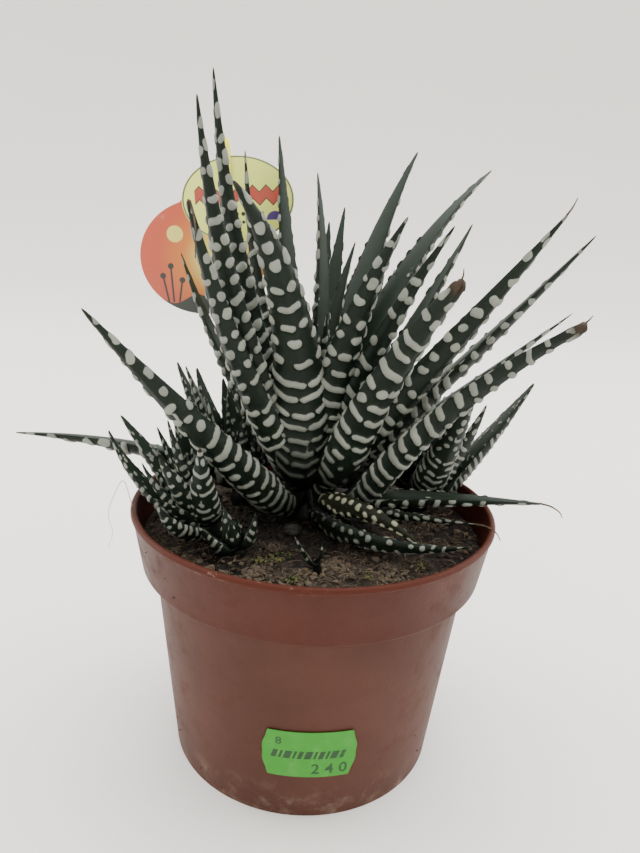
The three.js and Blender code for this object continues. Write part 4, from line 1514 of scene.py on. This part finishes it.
# leaf, and its withered end as steps from the tip: along it, to the right and up
WITHERED_TIPS = [
    (4, ((0, 0, 0), (3, 0, -0.6), (5.5, -0.4, -2.2), (6.6, -0.6, -4))),
    (1, ((0, 0, 0), (3.5, 0, -0.2), (6.5, -0.5, -1.8), (8.2, -1, -4.5))),
    (15, ((0, 0, 0), (2.2, 0, 0.5), (3.6, 0.2, 1.6))),
    (9, ((0, 0, 0), (1.2, 0, 0.4), (2.2, 0.3, 1.2))),
    (13, ((0, 0, 0), (1.0, 0.2, 0.8), (1.4, 0.6, 2.0))),
    (11, ((0, 0, 0), (0.6, -0.8, -0.6), (-0.6, -1.9, -4), (-0.4, -2.2, -8), (-0.8, -2.0, -12))),
]
WITHERED_RADII = (0.32, 0.12)  # at the leaf and at the end
INSIDE = 0.8  # how deep a withered end starts inside its leaf
HAIR_RADII = (0.12, 0.06)
HAIR = [
    (-52.7, -13.3, 79.9),
    (-55, -14, 88),
    (-57.5, -17, 83),
    (-58, -19, 79),
    (-56.6, -20, 74.5),
    (-57.8, -20.5, 70),
]


def make_withered():
    bm = bmesh.new()
    for index, steps in WITHERED_TIPS:
        tip, along = leaf_tip(index)
        right = along.cross(Vector((0, 0, 1))).normalized()
        points = [tip + along * (a - INSIDE) + right * b + Vector((0, 0, c)) for a, b, c in steps]
        add_strand(bm, points, *WITHERED_RADII)
    finished("withered_tips", bm, [finish_named("withered", withered_finish)])


def make_hair():
    bm = bmesh.new()
    add_strand(bm, HAIR, *HAIR_RADII)
    finished("loose_hair", bm, [finish_named("pale_hair", hair_finish)])


# ---------- stake, card and price label ----------
def on_stake():
    """Takes a piece from the stake's own frame, with X across and Z up along it, into the part's."""
    lean = Matrix.Rotation(math.radians(-STAKE_LEAN), 4, "Y")
    return Matrix.Translation((*STAKE_AT, SOIL_LEVEL)) @ lean


def plate(outline, front, thickness, bevel):
    """A flat piece of an outline of (x, z) points, with its edges eased."""
    bm = bmesh.new()
    face = bm.faces.new([bm.verts.new((x, front, z)) for x, z in outline])
    grown = bmesh.ops.extrude_face_region(bm, geom=[face])
    moved = [v for v in grown["geom"] if isinstance(v, bmesh.types.BMVert)]
    bmesh.ops.translate(bm, verts=moved, vec=(0, thickness, 0))
    bmesh.ops.recalc_face_normals(bm, faces=bm.faces)
    rims = [e for e in bm.edges if abs(e.verts[0].co.y - e.verts[1].co.y) < 1e-6]
    if bevel:
        bmesh.ops.bevel(
            bm, geom=rims, offset=bevel, affect="EDGES", segments=2, profile=0.5, material=-1
        )
    return bm


def bar_outline(bottom, top, half, steps=16):
    """A strip with a round top."""
    points = [(-half, bottom), (half, bottom)]
    for i in range(steps + 1):
        turn = math.pi * i / steps
        points.append((half * math.cos(turn), top - half + half * math.sin(turn)))
    return points


SHADE_TOP = 0.135  # metres up to where the stake has painted shade among the leaves
SHADE_FULL = 0.11  # and to where the painted shade is full


def stake_finish(name):
    """Translucent yellow plastic, a little cloudy, with painted shade among the leaves."""
    stake = bpy.context.scene.haworthia_label.stake
    material, w, shader = new_finish(name, 0.5, 0.35)
    place = w.place()
    cloud = w.noise(place, 60, 3)
    deeper = (0.92 * stake[0], 0.88 * stake[1], 0.7 * stake[2])
    painted_shade = (0.03, 0.028, 0.012)
    base = w.blend(w.step(cloud, 0.35, 0.7), stake, deeper)
    _, _, z = w.axes(place)
    # painted shade: the stake turns near-black low down among the leaves, where their shade falls
    base = w.blend(w.both(w.step(z, SHADE_TOP, SHADE_FULL), 0.93), base, painted_shade)
    w.feed(shader.inputs["Base Color"], base)
    shader.inputs["Subsurface Weight"].default_value = 0.35
    shader.inputs["Subsurface Radius"].default_value = (0.004, 0.004, 0.002)
    shader.inputs["Subsurface Scale"].default_value = 1.0
    w.grain(shader, place, 700.0, 0.00004)
    return material


def make_stake():
    card_top = UPPER_OVAL[1] + UPPER_OVAL[3]
    half = 0.5 * STAKE_WIDTH
    front = -(CARD_THICKNESS + 2 * GAP) - TONGUE_THICKNESS
    blade = plate(bar_outline(-STAKE_DEPTH, STAKE_TOP, half), 0, STAKE_THICKNESS, 0.2)
    tongue = plate(bar_outline(card_top - TONGUE, STAKE_TOP, half), front, TONGUE_THICKNESS, 0.15)
    bridge = plate(bar_outline(card_top + 2 * GAP, STAKE_TOP, half), front + 0.1, GAP - front, 0)
    mesh = after_boolean(mesh_of(blade), [mesh_of(tongue), mesh_of(bridge)], "UNION")
    mesh.transform(on_stake())
    finishes = [finish_named("stake_plastic", stake_finish)]
    finished("yellow_stake", mesh, finishes, "label_stake")


def oval_distance(w, x, z, oval):
    """1 on the oval's edge, less inside it."""
    cx, cz, half_width, half_height = oval
    dx = w.math("DIVIDE", w.math("SUBTRACT", x, cx), half_width)
    dz = w.math("DIVIDE", w.math("SUBTRACT", z, cz), half_height)
    return w.distance(dx, dz)


def disc(w, x, z, cx, cz, radius):
    """1 inside the disc."""
    return w.step(oval_distance(w, x, z, (cx, cz, radius, radius)), 1.04, 0.96)


def within(w, value, low, high, soft=0.12):
    """1 where the value lies between low and high."""
    return w.both(w.step(value, low - soft, low + soft), w.step(value, high + soft, high - soft))


def print_upper(w, x, z, s):
    """Lime ground, a zigzag band, rows of dots and a half disc, in a thin outline."""
    cx, cz, _, _ = UPPER_OVAL
    base = w.blend(w.step(x, cx - 14, cx + 16), s.lime, shaded(s.lime, 0.86))
    wave = w.math("PINGPONG", w.math("ADD", x, 40.0), 2.1)
    ridge = w.math("SUBTRACT", w.math("SUBTRACT", z, cz - 1.6), wave)
    inside = within(w, x, cx - 13.5, cx + 13.5)
    base = w.blend(w.both(inside, within(w, ridge, -0.35, 4.05)), base, s.ink)
    base = w.blend(w.both(inside, within(w, ridge, 0.05, 3.65)), base, s.red)
    for row_z, reach, radius in ((cz - 4.2, 8.5, 0.62), (cz - 6.7, 6.0, 0.5)):
        column = w.math("PINGPONG", w.math("ADD", x, 41.0), 1.0)
        below = w.math("SUBTRACT", z, row_z)
        near = w.math("ADD", w.math("MULTIPLY", column, column), w.math("MULTIPLY", below, below))
        dots = w.step(near, (radius + 0.08) ** 2, (radius - 0.08) ** 2)
        base = w.blend(w.both(dots, within(w, x, cx - reach, cx + reach)), base, s.ink)
    half_disc = w.both(disc(w, x, z, cx + 11.5, cz - 6.2, 2.7), w.step(z, cz - 6.3, cz - 6.1))
    base = w.blend(half_disc, base, s.purple)
    base = w.blend(disc(w, x, z, cx - 4, cz - 9.6, 1.3), base, s.orange)
    away = oval_distance(w, x, z, UPPER_OVAL)
    return w.blend(within(w, away, 0.962, 0.99, 0.006), base, s.outline)


def print_lower(w, x, z, s):
    """A dusk sky with a glow, over dark dunes with a few reeds."""
    cx, cz, _, half_height = LOWER_OVAL
    glow = oval_distance(w, x, z, (cx + 7, cz - 1, 20, 18))
    base = w.blend(w.step(glow, 0.3, 0.72), s.glow, s.orange)
    base = w.blend(w.step(glow, 0.55, 1.15), base, s.dusk)
    base = w.blend(disc(w, x, z, cx - 8.5, cz + 7.5, 2.6), base, s.glow)
    dune = w.math("MULTIPLY", w.math("SINE", w.math("MULTIPLY", x, 0.42)), 1.3)
    ground = cz - 0.72 * half_height
    crest = w.math("ADD", dune, ground)
    base = w.blend(w.step(z, w.math("ADD", crest, 0.2), w.math("ADD", crest, -0.2)), base, s.ink)
    for at, height, tilt in ((cx - 12, 8.5, 0.16), (cx - 10.4, 11.5, 0.02), (cx - 8.6, 7, -0.2)):
        up = w.math("SUBTRACT", z, ground - 1)
        line = w.math("SUBTRACT", w.math("SUBTRACT", x, at), w.math("MULTIPLY", up, -tilt))
        thin = w.step(w.math("ABSOLUTE", line), 0.45, 0.2)
        head = disc(w, x, z, at - tilt * height, ground - 1 + height, 0.95)
        stem = w.both(thin, within(w, up, 0, height))
        base = w.blend(w.math("MAXIMUM", stem, head), base, s.ink)
    return base


def print_finish(name):
    """The printed front of the card, drawn in its own millimetres."""
    s = bpy.context.scene.haworthia_label
    material, w, shader = new_finish(name, 0.5)
    x = w.attribute("across")
    z = w.attribute("up")
    on_upper = w.step(oval_distance(w, x, z, UPPER_OVAL), 1.003, 0.997)
    base = w.blend(on_upper, print_lower(w, x, z, s), print_upper(w, x, z, s))
    wear = w.noise(w.place(), 240, 4)
    rubbed = (0.7, 0.7, 0.6)
    base = w.blend(w.both(w.step(wear, 0.62, 0.8), 0.18), base, rubbed)
    w.feed(shader.inputs["Base Color"], base)
    w.feed(shader.inputs["Roughness"], w.math("ADD", 0.3, w.math("MULTIPLY", wear, 0.15)))
    return material


def plain_card_finish(name):
    """The unprinted back and edges of the card."""
    cream = (0.36, 0.36, 0.27)
    paler = (0.43, 0.43, 0.34)
    return mottled_finish(name, 0.5, 0.4, (80, 3), cream, paler)


def card_outline(steps=120):
    """The outline of the two ovals together: of each, the points outside the other."""
    outline = []
    for oval, other in ((UPPER_OVAL, LOWER_OVAL), (LOWER_OVAL, UPPER_OVAL)):
        points = []
        for i in range(steps):
            turn = TURN * i / steps
            x = oval[0] + oval[2] * math.cos(turn)
            z = oval[1] + oval[3] * math.sin(turn)
            free = math.hypot((x - other[0]) / other[2], (z - other[1]) / other[3]) > 1
            points.append((x, z, free))
        first = next(i for i in range(steps) if points[i][2] and not points[i - 1][2])
        outline += [(x, z) for x, z, free in points[first:] + points[:first] if free]
    return outline


def make_card():
    bm = plate(card_outline(), -CARD_THICKNESS - GAP, CARD_THICKNESS, 0.12)
    bm.normal_update()
    for face in bm.faces:
        face.material_index = 0 if face.normal.y < -0.7 else 1
    mesh = mesh_of(bm)
    across, _, up = vertex_places(mesh).T
    number_vertices(mesh, "across", across)
    number_vertices(mesh, "up", up)
    mesh.transform(on_stake())
    finishes = [finish_named("card_print", print_finish), finish_named("card_plain", plain_card_finish)]
    finished("care_card", mesh, finishes, "label_card")


def paper_finish(name):
    """Bright green gummed paper, a little paler where it is rubbed."""
    green = bpy.context.scene.haworthia_label.green
    material, w, shader = new_finish(name, 0.3, 0.6)
    place = w.place()
    rub = w.both(w.step(w.noise(place, 180, 4, 0.65), 0.45, 0.75), 0.6)
    paler = (0.08, 0.29, 0.05)
    w.feed(shader.inputs["Base Color"], w.blend(rub, green, paler))
    w.grain(shader, place, 1800.0, 0.00005)
    return material


def ink_finish(name):
    s = bpy.context.scene.haworthia_label
    material, w, shader = new_finish(name, 0.3, 0.7)
    worn = w.both(w.step(w.noise(w.place(), 900, 3), 0.58, 0.75), 0.5)
    w.feed(shader.inputs["Base Color"], w.blend(worn, s.digits, s.green))
    return material


def on_pot(across, up, out):
    """A point of the price label on the pot's wall: across and up from its middle, and outwards."""
    z = PRICE_MIDDLE + up
    radius = body_radius(z) + GAP + out
    turn = math.radians(PRICE_AZIMUTH) + across / body_radius(PRICE_MIDDLE)
    return Vector((radius * math.cos(turn), radius * math.sin(turn), z))


def make_price_label():
    width, height = PRICE_SIZE
    bm = bmesh.new()
    bmesh.ops.create_grid(bm, x_segments=52, y_segments=32, size=0.5)
    for vert in bm.verts:
        u = 2 * vert.co.x
        v = 2 * vert.co.y
        bulge = math.cos(0.5 * math.pi * v * 0.96) ** 0.8
        bite = 1.9 * (1 - bulge) + 0.12 * math.cos(9 * v)
        across = u * (0.5 * width - bite)
        up = 0.5 * height * v
        curl = 0.18 * max(0, u) ** 6 * max(0, v) ** 4
        vert.co = on_pot(across, up, 0.05 + curl)
    bmesh.ops.recalc_face_normals(bm, faces=bm.faces)
    middle = on_pot(0, 0, 0)
    nearest = min(bm.faces, key=lambda f: (f.calc_center_median() - middle).length)
    if nearest.normal.dot(Vector((middle.x, middle.y, 0))) < 0:
        bmesh.ops.reverse_faces(bm, faces=bm.faces)
    bmesh.ops.solidify(bm, geom=bm.faces, thickness=-0.5 * PRICE_THICKNESS)
    bmesh.ops.recalc_face_normals(bm, faces=bm.faces)
    finishes = [finish_named("green_paper", paper_finish)]
    finished("price_sticker", bm, finishes, "price_label", sharp=60)


# text, height of its figures, and the left and bottom of its place on the label
PRICE_FIGURES = [("8", 2.5, -9.4, 3.4), ("2 4 0", 3.5, 0.6, -6.7)]
FIGURE_SHARE = 0.7  # height of a figure, as a share of the font's size
BAR_WIDTHS = (1.4, 0.7, 1.9, 0.7, 1.2, 1.9, 0.7, 1.4, 0.7, 1.9, 1.2)
BAR_HEIGHT = 2.7
BAR_FOOT = -1.4
BAR_LEFT = -10.6
BAR_GAP = 0.62
BAR_SLANT = 0.3


def make_price_print():
    """Plain figures and a row of slanted bars, as thin ink over the paper."""
    bm = bmesh.new()
    for text, height, left, bottom in PRICE_FIGURES:
        curve = bpy.data.curves.new("figures", "FONT")
        curve.body = text
        curve.offset = 0.012
        curve.extrude = 0.01
        writer = placed("figures", curve)
        depsgraph = bpy.context.evaluated_depsgraph_get()
        mesh = bpy.data.meshes.new_from_object(writer.evaluated_get(depsgraph))
        bpy.data.objects.remove(writer)
        size = Matrix.Scale(height / FIGURE_SHARE, 4)
        mesh.transform(Matrix.Translation((left, bottom, 0)) @ size)
        bm.from_mesh(mesh)
    at = BAR_LEFT
    for width in BAR_WIDTHS:
        made = bmesh.ops.create_cube(bm, size=1)
        for vert in made["verts"]:
            x, y, z = vert.co
            up = (y + 0.5) * BAR_HEIGHT
            vert.co = (at + (x + 0.5) * width + BAR_SLANT * up, BAR_FOOT + up, 0.05 * z)
        at += width + BAR_GAP
    bmesh.ops.subdivide_edges(bm, edges=[e for e in bm.edges if e.calc_length() > 1.2], cuts=2)
    for vert in bm.verts:
        x, y, z = vert.co
        vert.co = on_pot(x, y, 0.21 + 0.3 * z)
    finished("price_print", bm, [finish_named("label_ink", ink_finish)])


# ---------- stage ----------
def floor_finish(name):
    floor = bpy.context.scene.haworthia_stage.floor
    return mottled_finish(name, 0.2, 0.7, (3, 2), floor, shaded(floor, 0.97))


def add_softbox(name, at, size, strength):
    """A square area lamp that looks at the plant."""
    lamp = bpy.data.lights.new(name, "AREA")
    lamp.size = size
    lamp.energy = strength
    box = placed(name, lamp)
    box.location = at
    aim = Vector(LAMPS_AIM) - Vector(at)
    box.rotation_euler = aim.to_track_quat("-Z", "Y").to_euler()


# name, place, size and setting of each lamp, in metres as all sizes of the stage
LAMPS = [
    ("overhead", (0.1, 0.35, 1.3), 1.2, "overhead"),
    ("left", (-1.1, 0.25, 0.7), 0.9, "side"),
    ("right", (1.1, 0.25, 0.7), 0.9, "side"),
]
LAMPS_AIM = (0, 0, 0.08)
SKY_COLOUR = (0.98, 0.965, 0.93, 1)
FLOOR_PROFILE = [(0, 0), (1.9, 0), (3.2, 1.6)]
FLOOR_ROUND = 1.4
FLOOR_BELOW = 0.0001
CAMERA_PLACE = (0.0005, -0.1985, 0.1624)
CAMERA_PITCH = -16.535  # degrees
CAMERA_ROLL = 3.32


def make_stage():
    s = bpy.context.scene.haworthia_stage
    bm = bmesh.new()
    turned(bm, rounded(FLOOR_PROFILE, (FLOOR_ROUND,), 16), 96)
    mesh = mesh_of(bm, "floor")
    mesh.flip_normals()
    mesh.shade_smooth()
    mesh.transform(Matrix.Translation((0, 0, -FLOOR_BELOW)))
    mesh.materials.append(finish_named("pale_floor", floor_finish))
    floor = placed("floor", mesh)

    world = bpy.data.worlds.new("studio")
    world.use_nodes = True
    background = world.node_tree.nodes["Background"]
    background.inputs["Color"].default_value = SKY_COLOUR
    background.inputs["Strength"].default_value = s.sky
    bpy.context.scene.world = world
    for name, at, size, setting in LAMPS:
        add_softbox(name, at, size, getattr(s, setting))

    data = bpy.data.cameras.new("camera")
    data.lens = s.lens
    data.clip_start = 0.01
    camera = placed("camera", data)
    pitch = Matrix.Rotation(math.radians(90 + CAMERA_PITCH), 4, "X")
    roll = Matrix.Rotation(math.radians(CAMERA_ROLL), 4, "Z")
    camera.matrix_world = Matrix.Translation(CAMERA_PLACE) @ pitch @ roll
    bpy.context.scene.camera = camera


# ---------- operators ----------
class HAWORTHIA_OT_stage(bpy.types.Operator):
    """Lays the floor and places the lamps and the camera"""

    bl_idname = "haworthia.stage"
    bl_label = "Stage"
    bl_options = {"REGISTER", "UNDO"}

    def execute(self, context):
        make_stage()
        return {"FINISHED"}


class HAWORTHIA_OT_pot(bpy.types.Operator):
    """Makes the nursery pot with its drain holes, and the crumbs that stick to it"""

    bl_idname = "haworthia.pot"
    bl_label = "Pot"
    bl_options = {"REGISTER", "UNDO"}

    def execute(self, context):
        make_pot()
        make_wall_dirt()
        return {"FINISHED"}


class HAWORTHIA_OT_soil(bpy.types.Operator):
    """Makes the body of compost with its crumbly top"""

    bl_idname = "haworthia.soil"
    bl_label = "Compost"
    bl_options = {"REGISTER", "UNDO"}

    def execute(self, context):
        make_soil()
        return {"FINISHED"}


class HAWORTHIA_OT_litter(bpy.types.Operator):
    """Scatters crumbs, fibres, moss and the perlite grain on the compost"""

    bl_idname = "haworthia.litter"
    bl_label = "Litter"
    bl_options = {"REGISTER", "UNDO"}

    def execute(self, context):
        make_crumbs()
        make_fibres()
        make_moss()
        make_perlite()
        return {"FINISHED"}


class HAWORTHIA_OT_main_rosette(bpy.types.Operator):
    """Grows the leaves of the mother rosette"""

    bl_idname = "haworthia.main_rosette"
    bl_label = "Main rosette"
    bl_options = {"REGISTER", "UNDO"}

    def execute(self, context):
        make_main_rosette()
        return {"FINISHED"}


class HAWORTHIA_OT_offsets(bpy.types.Operator):
    """Grows the offsets and the seedling"""

    bl_idname = "haworthia.offsets"
    bl_label = "Offsets"
    bl_options = {"REGISTER", "UNDO"}

    def execute(self, context):
        make_offsets()
        return {"FINISHED"}


class HAWORTHIA_OT_withered(bpy.types.Operator):
    """Adds the withered leaf ends and the loose hair"""

    bl_idname = "haworthia.withered"
    bl_label = "Withered ends"
    bl_options = {"REGISTER", "UNDO"}

    def execute(self, context):
        make_withered()
        make_hair()
        return {"FINISHED"}


class HAWORTHIA_OT_care_label(bpy.types.Operator):
    """Makes the stake and its printed card"""

    bl_idname = "haworthia.care_label"
    bl_label = "Care label"
    bl_options = {"REGISTER", "UNDO"}

    def execute(self, context):
        make_stake()
        make_card()
        return {"FINISHED"}


class HAWORTHIA_OT_price_label(bpy.types.Operator):
    """Sticks the price label on the pot"""

    bl_idname = "haworthia.price_label"
    bl_label = "Price label"
    bl_options = {"REGISTER", "UNDO"}

    def execute(self, context):
        make_price_label()
        make_price_print()
        return {"FINISHED"}


OPERATORS = (
    HAWORTHIA_OT_stage,
    HAWORTHIA_OT_pot,
    HAWORTHIA_OT_soil,
    HAWORTHIA_OT_litter,
    HAWORTHIA_OT_main_rosette,
    HAWORTHIA_OT_offsets,
    HAWORTHIA_OT_withered,
    HAWORTHIA_OT_care_label,
    HAWORTHIA_OT_price_label,
)
SETTINGS = {
    "haworthia_pot": PotSettings,
    "haworthia_leaf": LeafSettings,
    "haworthia_soil": SoilSettings,
    "haworthia_label": LabelSettings,
    "haworthia_stage": StageSettings,
}


class HAWORTHIA_PT_panel(bpy.types.Panel):
    """Lists the makers and their settings in the sidebar"""

    bl_idname = "HAWORTHIA_PT_panel"
    bl_label = "Potted Haworthia"
    bl_space_type = "VIEW_3D"
    bl_region_type = "UI"
    bl_category = "Haworthia"

    def draw(self, context):
        for operator in OPERATORS:
            self.layout.operator(operator.bl_idname, text=operator.bl_label)
        for name, group in SETTINGS.items():
            box = self.layout.box()
            for setting in group.__annotations__:
                box.prop(getattr(context.scene, name), setting)


def register():
    for name, group in SETTINGS.items():
        bpy.utils.register_class(group)
        setattr(bpy.types.Scene, name, bpy.props.PointerProperty(type=group))
    for operator in OPERATORS:
        bpy.utils.register_class(operator)
    bpy.utils.register_class(HAWORTHIA_PT_panel)


def unregister():
    bpy.utils.unregister_class(HAWORTHIA_PT_panel)
    for operator in reversed(OPERATORS):
        bpy.utils.unregister_class(operator)
    for name, group in SETTINGS.items():
        delattr(bpy.types.Scene, name)
        bpy.utils.unregister_class(group)


def main():
    """Registers the add-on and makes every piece."""
    register()
    for operator in OPERATORS:
        group, name = operator.bl_idname.split(".")
        getattr(getattr(bpy.ops, group), name)()


if __name__ == "__main__":
    main()
